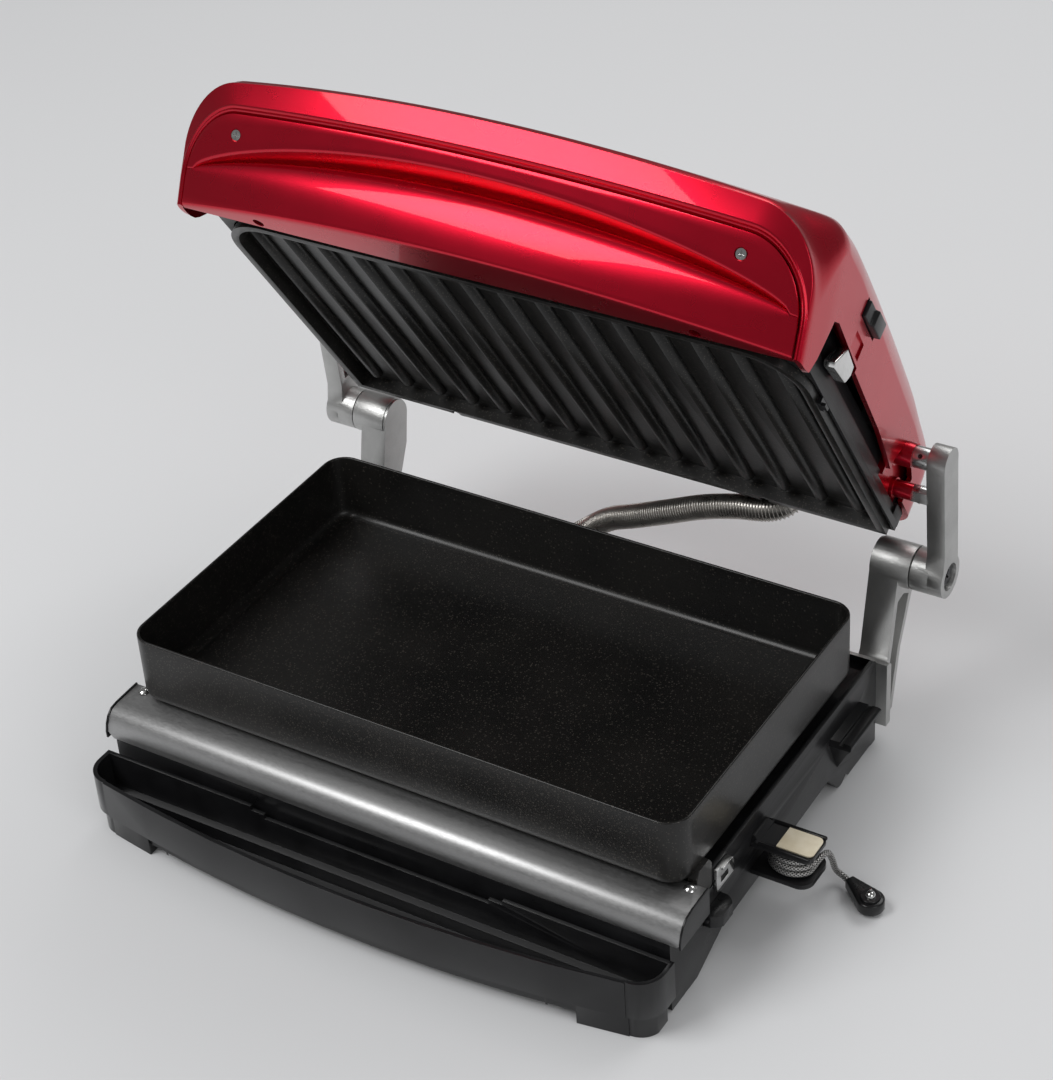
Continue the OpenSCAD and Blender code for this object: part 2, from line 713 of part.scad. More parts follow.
module link_collars() color([0.88, 0.88, 0.88]) place() both_sides() {
    difference() {
        union() {
            translate([0, float_y, float_z]) rod_x(170.4, 178.95, 5.7);
            translate([0, stop_y, stop_z]) {
                rod_x(171.05, 178.95, 4.5);
                rod_x(174.4, 175.2, 4.7);
            }
        }
        translate([0, float_y, float_z]) {
            rod_x(160, 190, 3.55);
            translate([174.6, 0, 0]) rotate([50, 0, 0]) translate([0, 0, 0]) cylinder(r = 1.25, h = 8);
        }
        translate([175, stop_y, stop_z]) rotate([0, 0, 0]) block(-4, 5, -5.5, -3.4, -5, 5);
    }
}

module lid_pivot_pins() color([0.8, 0.8, 0.8]) place() both_sides() {
    translate([0, float_y, float_z]) rod_x(155.1, 185.9, 3.5);
}

module set_screws() color([0.1, 0.1, 0.1]) place() both_sides() {
    translate([174.6, float_y, float_z]) rotate([50, 0, 0]) translate([0, 0, 3.6]) difference() {
        cylinder(r = 1.2, h = 1.7);
        translate([0, 0, 0.8]) cylinder(r = 0.6, h = 2, $fn = 6);
    }
}

// Domed cover: arches of changing height and width carried from the rear wall to the front
function dome(v, k) =
    let (
        ref = cover_rear_s + v * cover_len,
        back = min(1, (ref - cover_rear_s) / cover_corner),
        fall = cover_corner * (1 - sqrt(max(0, 1 - (1 - back) * (1 - back)))),
        wide = cover_rear_w + (cover_front_w - cover_rear_w)
            * max(0, min(1, (ref - cover_rear_s) / 232))
    )
    [wide - fall - k, dome_h - 0.00137 * pow(ref - 79, 2) - fall - k];

function front_s(x, h) =
    let (u = pow(x / cover_front_w, 2), low = 226 - 20.4 * u, high = 248.5 - 17 * u)
    low + (h + 5) / 40 * (high - low);

// Lower edge of the cover's sides, by distance from the plate's rear edge
skirt_edge = [
    [-27, 17], [-16, 17], [8, 21], [32, 24], [68, 27], [92, 28.6], [115, 26.4], [137, 22],
    [160, 18.6], [178, 16.7], [190, 7], [201, -3.5], [212, -5], [260, -5]
];

// Right half of an arch or of the panel window, from the skirt to the top
function half_arch(w, top, r, crown, low) = concat(
    [[w, low], [w, low + (top - r - low) * 0.6]],
    [for (a = [0 : 15 : 90]) [w - r + r * cos(a), top - r + r * sin(a)]],
    [for (i = [1 : 3]) [(w - r) * (1 - i / 4), top + crown * (1 - pow(1 - i / 4, 2))]]
);

function whole_arch(half, top) = concat(
    [for (p = half) [-p.x, p.y]],
    [[0, top]],
    [for (i = [len(half) - 1 : -1 : 0]) half[i]]
);

// Arch of the dome, moved in by a wall k, as points in the lid frame
function arch(v, k) =
    let (
        d = dome(v, k),
        r = min(dome_r - k, (d.y - 15) * 0.9),
        start = cover_rear_s + k,
        low = lookup(cover_rear_s + v * (cover_len - 10), skirt_edge),
        outline = whole_arch(half_arch(d.x, d.y, r, 2.4, low), d.y + 2.4)
    )
    [for (p = outline) [p.x, start + v * (front_s(p.x, p.y) - k - start), p.y]];

// Edge of the opening for the front panel, set back from the cover's face
function window(back) = [
    for (p = whole_arch(half_arch(166.4, 35.4, 28.4, 0, -5), 35.4))
        [p.x, front_s(p.x, p.y) - back, p.y]
];

stations = [
    0, 0.004, 0.015, 0.03, 0.05, 0.08, 0.14, 0.22, 0.31, 0.4, 0.5, 0.6, 0.7, 0.8, 0.86, 0.91, 0.96,
    0.985
];

// Flat end of the dome: a fan from the top of its first arch
function rear_wall(first, m, flip) =
    let (c = (m - 1) / 2)
    [for (j = [0 : m - 1]) let (a = first + j, b = first + (j + 1) % m)
        if (j != c && j != c - 1) flip ? [first + c, a, b] : [first + c, b, a]];

module cover_shell() {
    outer = [for (v = stations) arch(v, 0)];
    inner = [for (i = [len(stations) - 1 : -1 : 0]) arch(stations[i], cover_wall)];
    rows = concat(
        outer, [arch(1, 2.2)], [window(0)], [window(cover_wall)], [arch(1, cover_wall + 0.6)], inner
    );
    m = len(rows[0]);
    n = len(rows);
    polyhedron(
        [for (row = rows, p = row) p],
        concat(
            [for (i = [0 : n - 2], j = [0 : m - 2], h = [0, 1])
                let (a = i * m + j, b = a + m)
                h == 0 ? [a, a + 1, b + 1] : [a, b + 1, b]],
            rear_wall(0, m, false),
            rear_wall((n - 1) * m, m, true),
            [for (i = [0 : n / 2 - 2], h = [0, 1])
                let (a = i * m, b = a + m, c = (n - 1 - i) * m, d = c - m)
                h == 0 ? [a, b, d] : [a, d, c]],
            [for (i = [0 : n / 2 - 2], h = [0, 1])
                let (a = i * m + m - 1, b = a + m, c = (n - i) * m - 1, d = c - m)
                h == 0 ? [a, d, b] : [a, c, d]],
            let (c = (n - 1) * m) [[0, c, c + m - 1], [0, c + m - 1, m - 1]]
        )
    );
}

module lid_cover() color([0.66, 0.03, 0.08]) in_lid() difference() {
    cover_shell();
    both_sides() block(146, 180, 7, 45, 10, 44);
    block(150, 180, 134.6, 160.4, 42.6, 52.4);
    block(167.6, 180, 143, 158, 27.5, 40);
    block(150, 180, 138.5, 171, 0, 25.6);
    block(150, 180, 163, 178, 0, 30);
    translate([160, 170.5, 30]) rotate([0, 90, 0]) cylinder(r = 7.5, h = 20);
}

// Front panel: a section with its grip scoop, lofted across the lid
scoop_tip = 162;

// Share of the scoop's full depth and height at a place across the lid
function scoop_share(x) = abs(x) >= scoop_tip ? 0 : pow(cos(90 * abs(x) / scoop_tip), 0.55);

function panel_top(x) = abs(x) <= 138 ? 35 : 7 + sqrt(max(0, 784 - pow(abs(x) - 138, 2)));

// Outline of the panel's face from the rear of the underside strip to the top edge
function panel_face(x) =
    let (
        share = scoop_share(x),
        deep = 15 * share,
        high = 10 + 18 * share,
        low = 10 - 11.4 * share,
        top = panel_top(x),
        cut = min(high, top - 1.2),
        foot = min(low, cut - 0.2)
    )
    concat(
        [[203.6, -5], [front_s(x, -5) - 3, -5], [front_s(x, -4) , -4]],
        [[front_s(x, foot), foot]],
        [for (a = [15 : 15 : 90])
            let (h = foot + (cut - 2.4 * share - foot) * sin(a))
            [front_s(x, h) - (deep + 0.02) * (1 - cos(a)), h]],
        [[front_s(x, cut), cut], [front_s(x, top) , top]]
    );

// The same outline moved in by the panel's thickness
function panel_back(x) =
    let (f = panel_face(x), n = len(f), top = panel_top(x))
    [for (i = [0 : n - 1])
        i == 0 ? [203.6, -2.4] :
        i == 1 ? [f[1].x - 3.4, -2.4] :
        i == 2 ? [f[2].x - 3.6, -1.6] :
        i < n - 2 ? [f[i].x - 3.2, f[i].y + 0.9 * (i - 2) / (n - 4)] :
        i == n - 2 ? [f[i].x - 3.2, min(f[i].y + 1.6, top - 0.2)] : [f[i].x - 3.2, top]];

module lid_front_panel() color([0.72, 0.04, 0.09]) in_lid() difference() {
    xs = concat([-166, -165], [for (x = [-162 : 6 : 162]) x], [165, 166]);
    sections = [for (x = xs) let (f = panel_face(x), b = panel_back(x))
        concat([for (p = f) [x, p.x, p.y]], [for (i = [len(b) - 1 : -1 : 0]) [x, b[i].x, b[i].y]])];
    m = len(sections[0]);
    n = len(sections);
    polyhedron(
        [for (s = sections, p = s) p],
        concat(
            [for (i = [0 : n - 2], j = [0 : m - 1], h = [0, 1])
                let (a = i * m + j, b = i * m + (j + 1) % m)
                h == 0 ? [a, a + m, b + m] : [a, b + m, b]],
            [for (j = [0 : m / 2 - 2], h = [0, 1])
                h == 0 ? [j, j + 1, m - 1 - j] : [j + 1, m - 2 - j, m - 1 - j]],
            let (e = (n - 1) * m) [for (j = [0 : m / 2 - 2], h = [0, 1])
                h == 0 ? [e + j, e + m - 1 - j, e + j + 1]
                : [e + j + 1, e + m - 1 - j, e + m - 2 - j]]
        )
    );
    for (x = [-119, 119]) translate([x, 207.6, -8]) cylinder(r = 3, h = 8);
    for (x = [-136, 136]) translate([x, front_s(x, 26), 26]) rotate([90 - front_lean, 0, 0]) {
        translate([0, 0, -8]) cylinder(r = 1.7, h = 20);
        translate([0, 0, -2]) cylinder(r1 = 4.4, r2 = 1.7, h = 3.4);
    }
}

module panel_screws() color([0.8, 0.8, 0.8]) in_lid() {
    for (x = [-136, 136]) translate([x, front_s(x, 26), 26]) rotate([90 - front_lean, 0, 0])
        translate([0, 0, 1.2]) {
            cylinder(r = 1.6, h = 7);
            translate([0, 0, -1.2]) difference() {
                cylinder(r1 = 2.6, r2 = 1.6, h = 1.4);
                for (a = [0, 90]) rotate([0, 0, a])
                    translate([-1.6, -0.3, -0.4]) cube([3.2, 0.6, 1]);
            }
        }
}

// Cast bosses that carry the lid on the links
function lid_s(y, z) = (z - lid_z) * sin(lid_angle) - (y - lid_y) * cos(lid_angle);

function lid_h(y, z) = (z - lid_z) * cos(lid_angle) + (y - lid_y) * sin(lid_angle);

boss_s = lid_s(float_y, float_z);
boss_h = lid_h(float_y, float_z);
stop_s = lid_s(stop_y, stop_z);
stop_h = lid_h(stop_y, stop_z);

module lid_hinge_bosses() color([0.6, 0.03, 0.07]) in_lid() both_sides() difference() {
    union() {
        block(146.2, 150.5, 7.2, 44.8, 14.6, 43.8);
        block(146.2, 163, 43.4, 44.8, 14.6, 43.8);
        translate([0, boss_s, boss_h]) {
            rod_x(150, 161, 7.3);
            rod_x(160, 170.35, 6.5);
        }
        translate([0, stop_s, stop_h]) {
            rod_x(150, 161, 5.4);
            rod_x(160, 170.9, 4.5);
        }
        along_x(150, 156) polygon([[14, 15.2], [20, 16], [36, 28], [36, 38], [31, 40], [11, 22]]);
    }
    translate([0, boss_s, boss_h]) {
        rod_x(155, 180, 3.55);
        translate([165, 0, 0]) rotate([140, 0, 0]) cylinder(r = 1, h = 8);
    }
}

// Stepped frame round the upper plate
module frame_plan(w, s0, s1, r) {
    translate([-w, s0]) square([2 * w, s1 - s0 - r]);
    translate([-w + r, s0]) square([2 * (w - r), s1 - s0]);
    for (x = [-1, 1]) translate([x * (w - r), s1 - r]) circle(r);
}

module upper_heater_frame() color([0.07, 0.07, 0.08]) in_lid() difference() {
    union() {
        translate([0, 0, 15]) linear_extrude(17) frame_plan(159.6, -9, 199, 26);
        translate([0, 0, 7.5]) linear_extrude(8) frame_plan(161.8, -5.8, 197, 28);
        translate([0, 0, 4.4]) linear_extrude(4) frame_plan(162.6, -3, 200, 20);
        block(-154, 154, 188.8, 203.4, 1.2, 8);
        block(89, 110, -23.8, -8, 29.6, 32);
    }
    translate([99.5, gland_s, gland_h]) cylinder(r = 6.7, h = 9);
    translate([0, 0, -1]) linear_extrude(15.3) frame_plan(plate_half_w + 0.6, -0.6, 188.6, 30.6);
    translate([0, 0, 10]) linear_extrude(30) frame_plan(151, 6, 180, 24);
    both_sides() block(145, 170, 6, 46, 9, 46);
    for (s = [20 : 24 : 164]) both_sides() block(157, 164, s, s + 10, 24, 28);
}

module upper_reflector() color([0.7, 0.7, 0.68]) in_lid() difference() {
    union() {
        translate([0, 0, 15.5]) linear_extrude(17.3) frame_plan(143, 7, 179, 20);
        block(-143, 143, 1.5, 184.5, 32.05, 32.8);
    }
    translate([0, 0, 15]) linear_extrude(17) frame_plan(142.2, 7.8, 178.2, 19.2);
    for (x = [-25, 25]) translate([x, 170, 21]) rotate([-90, 0, 0]) cylinder(r = 3.6, h = 20);
}

module upper_element() color([0.35, 0.34, 0.33]) in_lid() translate([0, -20, 21]) bent_rod_short(3.2);

module bent_rod_short(r) {
    for (x = [-1, 1]) {
        translate([x * 25, 175, 0]) rotate([-90, 0, 0]) cylinder(r = r, h = 24.6);
        translate([x * 43, 175, 0]) rotate([0, 0, x > 0 ? 180 : 270])
            rotate_extrude(angle = 90) translate([18, 0]) circle(r);
        translate([x > 0 ? 43 : -90, 157, 0]) rotate([0, 90, 0]) cylinder(r = r, h = 47);
        translate([x * 90, 113.5, 0]) rotate([0, 0, x > 0 ? -90 : 90])
            rotate_extrude(angle = 180) translate([43.5, 0]) circle(r);
    }
    translate([-90, 70, 0]) rotate([0, 90, 0]) cylinder(r = r, h = 180);
}

module upper_thermostat() color([0.5, 0.5, 0.52]) in_lid() {
    translate([50, 100, 32.85]) cylinder(r = 9, h = 5);
    translate([50, 100, 37.8]) cylinder(r = 6, h = 4);
}

// Ribbed plate with its rim, drip notch lugs and ribs
module upper_plate() color([0.15, 0.13, 0.1]) in_lid() {
    difference() {
        union() {
            linear_extrude(14) frame_plan(plate_half_w, 0, plate_depth, 30);
            for (x = [-96, 92]) block(x - 5, x + 5, -1.8, 2, 0.5, 4.2);
        }
        translate([0, 0, -1]) linear_extrude(8.5)
            frame_plan(plate_half_w - 4.5, 4, plate_depth - 4, 26);
        translate([0, 0, 10.5]) linear_extrude(9)
            frame_plan(plate_half_w - 8, 8, plate_depth - 8, 24);
        for (x = [-96, 92]) translate([x, 0, -1]) cylinder(r = 3, h = 4);
    }
    for (i = [0 : rib_count - 1]) {
        x = (i - (rib_count - 1) / 2) * rib_pitch;
        translate([x, 9 + rib_w / 2, 7.2]) {
            rotate([-90, 0, 0]) cylinder(r = rib_w / 2, h = 156, $fn = 24);
            sphere(rib_w / 2, $fn = 24);
            translate([0, 156, 0]) sphere(rib_w / 2, $fn = 24);
        }
    }
}

module plate_hook() color([0.1, 0.1, 0.1]) in_lid() {
    block(160.5, 162.6, 141, 149, 0.6, 4.2);
    block(162.4, 164.6, 142.5, 147.5, 0.6, 2.2);
}

// Upper latch and its button on the right side
module upper_latch() color([0.86, 0.86, 0.85]) in_lid() difference() {
    union() {
        along_x(163.4, 169.4) polygon([
            [144, 16.5], [150, 14], [166, 15], [167.6, 18], [162, 24.6], [158, 25.2],
            [156, 22], [148, 20.6]
        ]);
        block(159.8, 164, 145.4, 149.6, 17, 20);
    }
    along_x(162, 168) polygon([[150, 16.4], [163, 17], [159, 22.6], [157, 19.4], [150, 18.4]]);
}

module upper_release_button() color([0.06, 0.06, 0.06]) in_lid() {
    block(162.4, 169.2, 135, 160, 43, 52);
    block(160.2, 162.6, 133.4, 161.6, 41.6, 53.4);
}

union() {
    path = cable_path();
    gap = min([for (i = [0 : len(path) - 1], j = [0 : len(path) - 1])
        if (j - i > 12) norm(path[i] - path[j]) - cable_d]);
    echo(least_cable_gap = gap);
}

base_housing();
bottom_cover();
front_trim();
trim_end_caps();
trim_rivets();
lower_reflector();
lower_element();
element_clips();
lower_thermostat();
rubber_feet();
hinge_arm_left();
hinge_arm_right();
arm_screws();
lower_pivot_pins();
pivot_screws();
pivot_washers();
lower_latch_clip();
lower_release_button();
probe_bracket();
bracket_pad();
probe_cable();
probe_lead();
probe_handle();
probe_tip();
mains_gland();
conduit();
conduit_gland_base();
conduit_gland_lid();
tilt_foot();
bake_pan();
drip_tray();
link_left();
link_right();
link_collars();
lid_pivot_pins();
set_screws();
lid_cover();
lid_front_panel();
panel_screws();
lid_hinge_bosses();
upper_heater_frame();
upper_reflector();
upper_element();
upper_thermostat();
upper_plate();
plate_hook();
upper_latch();
upper_release_button();
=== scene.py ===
from contextlib import contextmanager
from math import asin, cos, degrees, pi, radians, sin, sqrt

import bmesh
import bpy
import numpy as np
from mathutils import Matrix, Vector


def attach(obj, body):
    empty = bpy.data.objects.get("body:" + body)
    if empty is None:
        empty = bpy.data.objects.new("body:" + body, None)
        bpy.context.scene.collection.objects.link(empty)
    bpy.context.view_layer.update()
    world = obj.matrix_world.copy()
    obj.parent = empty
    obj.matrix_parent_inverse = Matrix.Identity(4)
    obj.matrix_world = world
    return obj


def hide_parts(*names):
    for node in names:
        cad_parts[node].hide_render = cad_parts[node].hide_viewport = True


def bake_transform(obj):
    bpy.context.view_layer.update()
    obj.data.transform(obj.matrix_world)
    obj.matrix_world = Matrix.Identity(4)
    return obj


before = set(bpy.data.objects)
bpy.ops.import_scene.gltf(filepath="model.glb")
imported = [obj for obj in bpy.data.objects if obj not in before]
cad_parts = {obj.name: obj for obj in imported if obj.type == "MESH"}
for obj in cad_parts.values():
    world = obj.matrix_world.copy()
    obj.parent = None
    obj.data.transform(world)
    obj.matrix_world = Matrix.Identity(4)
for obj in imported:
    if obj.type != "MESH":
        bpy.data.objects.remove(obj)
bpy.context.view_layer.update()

print("frame loaded")

# Points are in millimetres on the table, and rowPoint turns them into the frame's metres
originY = 130.9


def rowPoint(x, y, z):
    return Vector((x / 1000, (y - originY) / 1000, z / 1000))


# The lid's own frame: x across, s from the plate's rear edge to the front, h out of the plate
lidFrame = {"rearY": 233.9, "rearZ": 124.7, "angle": 56.8}
lidCos = cos(radians(lidFrame["angle"]))
lidSin = sin(radians(lidFrame["angle"]))


def lidPoint(x, s, h):
    y = lidFrame["rearY"] - s * lidCos + h * lidSin
    z = lidFrame["rearZ"] + s * lidSin + h * lidCos
    return rowPoint(x, y, z)


def linked(name, data):
    obj = bpy.data.objects.new(name, data)
    bpy.context.scene.collection.objects.link(obj)
    return obj


# Camera
camera = {
    "place": (0.60505, -0.8922, 0.8981), "yaw": 0.586256, "pitch": 0.615706, "roll": -0.072393,
    "lens": 88.0, "sensor": 36, "near": 0.05, "far": 20,
}


def makeCamera():
    data = bpy.data.cameras.new("photoCamera")
    data.sensor_fit = "VERTICAL"
    data.sensor_height = camera["sensor"]
    data.lens = camera["lens"]
    data.clip_start, data.clip_end = camera["near"], camera["far"]
    yaw, pitch, roll = camera["yaw"], camera["pitch"], camera["roll"]
    forward = Vector((-sin(yaw) * cos(pitch), cos(yaw) * cos(pitch), -sin(pitch)))
    level = Vector((cos(yaw), sin(yaw), 0))
    upright = level.cross(forward)
    right = level * cos(roll) + upright * sin(roll)
    up = upright * cos(roll) - level * sin(roll)
    turned = Matrix((right, up, -forward)).transposed().to_4x4()
    obj = linked("photoCamera", data)
    obj.matrix_world = Matrix.Translation(camera["place"]) @ turned
    bpy.context.scene.camera = obj


makeCamera()
print("camera ready")


# Node building: a socket with arithmetic, and one method for every other node
def addNode(tree, kind, settings=None, inputs=None, out=0):
    node = tree.nodes.new(kind)
    for key, value in (settings or {}).items():
        setattr(node, key, value)
    for key, value in (inputs or {}).items():
        if isinstance(value, Wire):
            tree.links.new(value.socket, node.inputs[key])
        else:
            node.inputs[key].default_value = value
    return Wire(tree, node.outputs[out] if len(node.outputs) else None, node)


class Wire:
    def __init__(self, tree, socket, owner=None):
        self.tree, self.socket, self.owner = tree, socket, owner

    def node(self, kind, settings=None, inputs=None, out=0):
        return addNode(self.tree, kind, settings, inputs, out)

    def math(self, operation, *values):
        return addNode(self.tree, "ShaderNodeMath", {"operation": operation}, dict(enumerate(values)))

    def sine(self):
        return self.math("SINE", self)

    def larger(self, other):
        return self.math("MAXIMUM", self, other)

    def output(self, key):
        return Wire(self.tree, self.owner.outputs[key], self.owner)

    def __add__(self, other):
        return self.math("ADD", self, other)

    def __radd__(self, other):
        return self.math("ADD", other, self)

    def __sub__(self, other):
        return self.math("SUBTRACT", self, other)

    def __mul__(self, other):
        return self.math("MULTIPLY", self, other)


class Finish:
    # A material with one shader, whose textures read object coordinates
    def __init__(self, name, **constants):
        self.material = bpy.data.materials.new(name)
        self.material.use_nodes = True
        self.tree = self.material.node_tree
        self.tree.nodes.clear()
        self.shader = self.tree.nodes.new("ShaderNodeBsdfPrincipled")
        output = self.tree.nodes.new("ShaderNodeOutputMaterial")
        self.tree.links.new(self.shader.outputs[0], output.inputs[0])
        for key, value in constants.items():
            self.shader.inputs[key.replace("_", " ")].default_value = value
        self.place = addNode(self.tree, "ShaderNodeTexCoord").output("Object")

    def noise(self, scale, detail, rough=0.55, where=None):
        inputs = {"Vector": where or self.place, "Scale": scale, "Detail": detail, "Roughness": rough}
        return self.place.node("ShaderNodeTexNoise", {}, inputs)

    def cells(self, scale):
        return self.place.node("ShaderNodeTexVoronoi", {}, {"Vector": self.place, "Scale": scale})

    def between(self, value, low, high, start=0.0, end=1.0):
        inputs = {"Value": value, "From Min": low, "From Max": high, "To Min": start, "To Max": end}
        return self.place.node("ShaderNodeMapRange", {"clamp": True}, inputs)

    def mixed(self, share, first, second):
        first = (*first, 1) if isinstance(first, tuple) else first
        second = (*second, 1) if isinstance(second, tuple) else second
        return self.place.node("ShaderNodeMix", {"data_type": "RGBA"}, {0: share, 6: first, 7: second}, 2)

    def join(self, wire, key):
        self.tree.links.new(wire.socket, self.shader.inputs[key])

    def colour(self, share, first, second):
        self.join(self.mixed(share, first, second), "Base Color")

    def rough(self, wire, *ramp):
        self.join(self.between(wire, *ramp) if ramp else wire, "Roughness")

    def metal(self, wire, *ramp):
        self.join(self.between(wire, *ramp) if ramp else wire, "Metallic")

    def relief(self, height, depth, strength):
        inputs = {"Height": height, "Distance": depth, "Strength": strength}
        self.join(self.place.node("ShaderNodeBump", {}, inputs), "Normal")


# Candy red lacquer over fine metal flakes
redLook = {
    "deep": (0.38, 0.0015, 0.012), "bright": (0.74, 0.004, 0.032), "rough": 0.25, "metal": 0.86,
    "flakeScale": 1700.0, "cloudScale": 7.0, "waveScale": 60.0, "grainScale": 160.0, "depth": 0.00001,
}


def redPaint():
    look = Finish("redPaint", Coat_Weight=0.4, Coat_Roughness=0.035, IOR=1.45)
    flakes = look.cells(redLook["flakeScale"]).output("Distance")
    glint = look.between(flakes, 0.05, 0.5, 1.0, 0.0)
    share = look.between(look.noise(redLook["cloudScale"], 2.0), 0.3, 0.7, 0.25, 0.6) + glint * 0.14
    look.colour(share, redLook["deep"], redLook["bright"])
    look.metal(redLook["metal"] + glint * 0.1)
    look.rough(redLook["rough"] + look.noise(redLook["waveScale"], 2.0) * 0.06)
    look.relief(flakes + look.noise(redLook["grainScale"], 2.0) * 0.2, redLook["depth"], 0.15)
    return look.material


# Moulded black plastics
plasticLook = {
    "dark": (0.006, 0.006, 0.0065), "light": (0.012, 0.012, 0.013), "grainScale": 1900.0, "pitScale": 900.0,
    "wearScale": 38.0,
}


def blackPlastic(name, rough, coat, grainDepth, dark=plasticLook["dark"], light=plasticLook["light"]):
    look = Finish(name, Coat_Weight=coat, Coat_Roughness=0.1, Specular_IOR_Level=0.32)
    grain = look.noise(plasticLook["grainScale"], 2.0)
    wear = look.noise(plasticLook["wearScale"], 5.0, 0.65)
    look.colour(look.between(wear, 0.35, 0.7), dark, light)
    look.rough(wear + grain * 0.3, 0.4, 0.95, rough - 0.05, rough + 0.07)
    look.relief(grain + look.cells(plasticLook["pitScale"]).output("Distance") * 0.6, grainDepth, 0.6)
    return look.material


# Brushed, cast and heat-tinted metals; each shade is the darker share of its tint
brushedLook = {"broadScale": 14.0, "shade": 0.8}


def brushedMetal(name, tint, stretch, rough, depth):
    look = Finish(name, Specular_IOR_Level=0.6)
    where = look.place.node("ShaderNodeVectorMath", {"operation": "MULTIPLY"}, {0: look.place, 1: stretch})
    lines = look.noise(1.0, 4.0, 0.7, where)
    broad = look.noise(brushedLook["broadScale"], 3.0)
    darker = tuple(channel * brushedLook["shade"] for channel in tint)
    look.colour(look.between(lines * 0.6 + broad * 0.4, 0.35, 0.65), darker, tint)
    look.metal(broad, 0.2, 0.8, 0.96, 1.0)
    look.rough(lines, 0.3, 0.7, rough - 0.06, rough + 0.09)
    look.relief(lines, depth, 0.5)
    return look.material


castLook = {"gritScale": 1100.0, "grainScale": 700.0, "cloudScale": 24.0, "shade": 0.72, "depth": 0.00006}


def castMetal(name, tint, rough):
    look = Finish(name, Specular_IOR_Level=0.5)
    grit = look.cells(castLook["gritScale"]).output("Distance")
    grit = grit + look.noise(castLook["grainScale"], 4.0) * 0.8
    cloud = look.noise(castLook["cloudScale"], 4.0, 0.6)
    darker = tuple(channel * castLook["shade"] for channel in tint)
    look.colour(look.between(cloud, 0.3, 0.7), darker, tint)
    look.metal(cloud, 0.2, 0.8, 0.9, 1.0)
    look.rough(grit + cloud, 0.6, 1.6, rough - 0.07, rough + 0.08)
    look.relief(grit, castLook["depth"], 0.6)
    return look.material


heatLook = {
    "grey": (0.09, 0.082, 0.08), "straw": (0.16, 0.12, 0.085), "scale": (0.045, 0.043, 0.045),
    "fineScale": 95.0, "bandScale": 9.0, "depth": 0.00008,
}


def heatedSteel():
    look = Finish("heatedSteel", Specular_IOR_Level=0.4)
    fine = look.noise(heatLook["fineScale"], 5.0, 0.65)
    bands = look.noise(heatLook["bandScale"], 2.0)
    tinted = look.mixed(look.between(bands, 0.4, 0.62), heatLook["grey"], heatLook["straw"])
    look.colour(look.between(fine, 0.45, 0.7), tinted, heatLook["scale"])
    look.metal(fine, 0.4, 0.7, 0.85, 0.4)
    look.rough(fine, 0.3, 0.7, 0.38, 0.62)
    look.relief(fine, heatLook["depth"], 0.7)
    return look.material


# Speckled non-stick coating: two sizes of pale fleck in a dark ground
coatingLook = {
    "ground": (0.007, 0.0068, 0.0066), "warm": (0.011, 0.0102, 0.0094), "rough": 0.33,
    "fleck": (0.07, 0.065, 0.058), "warmFleck": (0.09, 0.078, 0.065), "smallScale": 760.0,
    "largeScale": 300.0, "cloudScale": 18.0, "fleckScale": 420.0, "grainScale": 520.0, "depth": 0.00008,
}


def panCoating(name, amount):
    given = coatingLook
    look = Finish(name, Coat_Weight=0.12, Coat_Roughness=0.2, Specular_IOR_Level=0.32)
    small, large = look.cells(given["smallScale"]), look.cells(given["largeScale"])
    chosen = look.between(small.output("Color"), 0.58 - amount, 0.62 - amount)
    dots = look.between(small.output("Distance"), 0.16, 0.3, 1.0, 0.0) * chosen
    spots = look.between(large.output("Distance"), 0.1, 0.2, 1.0, 0.0)
    cloud = look.noise(given["cloudScale"], 3.0)
    ground = look.mixed(look.between(cloud, 0.35, 0.65), given["ground"], given["warm"])
    fleck = look.mixed(look.noise(given["fleckScale"], 2.0), given["fleck"], given["warmFleck"])
    share = dots.larger(spots * 0.65) * (0.5 + amount)
    look.colour(share, ground, fleck)
    look.rough(cloud + share * 0.2, 0.3, 0.9, given["rough"] - 0.04, given["rough"] + 0.12)
    look.relief(look.noise(given["grainScale"], 3.0) + share * 0.5, given["depth"], 0.55)
    return look.material


rubberLook = {"dustScale": 85.0, "grainScale": 900.0, "depth": 0.00005}


def softRubber(name, dark, light, rough):
    look = Finish(name, Specular_IOR_Level=0.35)
    dust = look.noise(rubberLook["dustScale"], 5.0, 0.6)
    look.colour(look.between(dust, 0.35, 0.7), dark, light)
    look.rough(dust, 0.3, 0.7, rough - 0.06, rough + 0.08)
    look.relief(look.noise(rubberLook["grainScale"], 3.0) + dust * 0.3, rubberLook["depth"], 0.6)
    return look.material


# Braid of fine wires that reads the cable's own map: around, and along in cable diameters; the dark gap
# colour is painted shade between the wires
braidLook = {
    "strands": 6.0, "pitch": 0.62, "wire": (0.62, 0.61, 0.59), "gap": (0.05, 0.05, 0.052), "depth": 0.00016,
}


def braidedSteel():
    look = Finish("braidedSteel", Specular_IOR_Level=0.5)
    spread = look.place.node("ShaderNodeUVMap", {"uv_map": "cableMap"})
    parts = spread.node("ShaderNodeSeparateXYZ", {}, {0: spread})
    around, along = parts.output("X"), parts.output("Y")
    turn = 2 * pi * braidLook["strands"]
    lean = turn * braidLook["pitch"] / 2
    weave = (around * turn + along * lean).sine().larger((around * turn - along * lean).sine())
    # Painted shade: the dark gap colour darkens the troughs between the wires
    look.colour(look.between(weave, 0.1, 0.85), braidLook["gap"], braidLook["wire"])
    look.metal(weave, 0.0, 0.6, 0.5, 1.0)
    look.rough(weave, 0.0, 1.0, 0.5, 0.27)
    look.relief(weave, braidLook["depth"], 0.9)
    return look.material


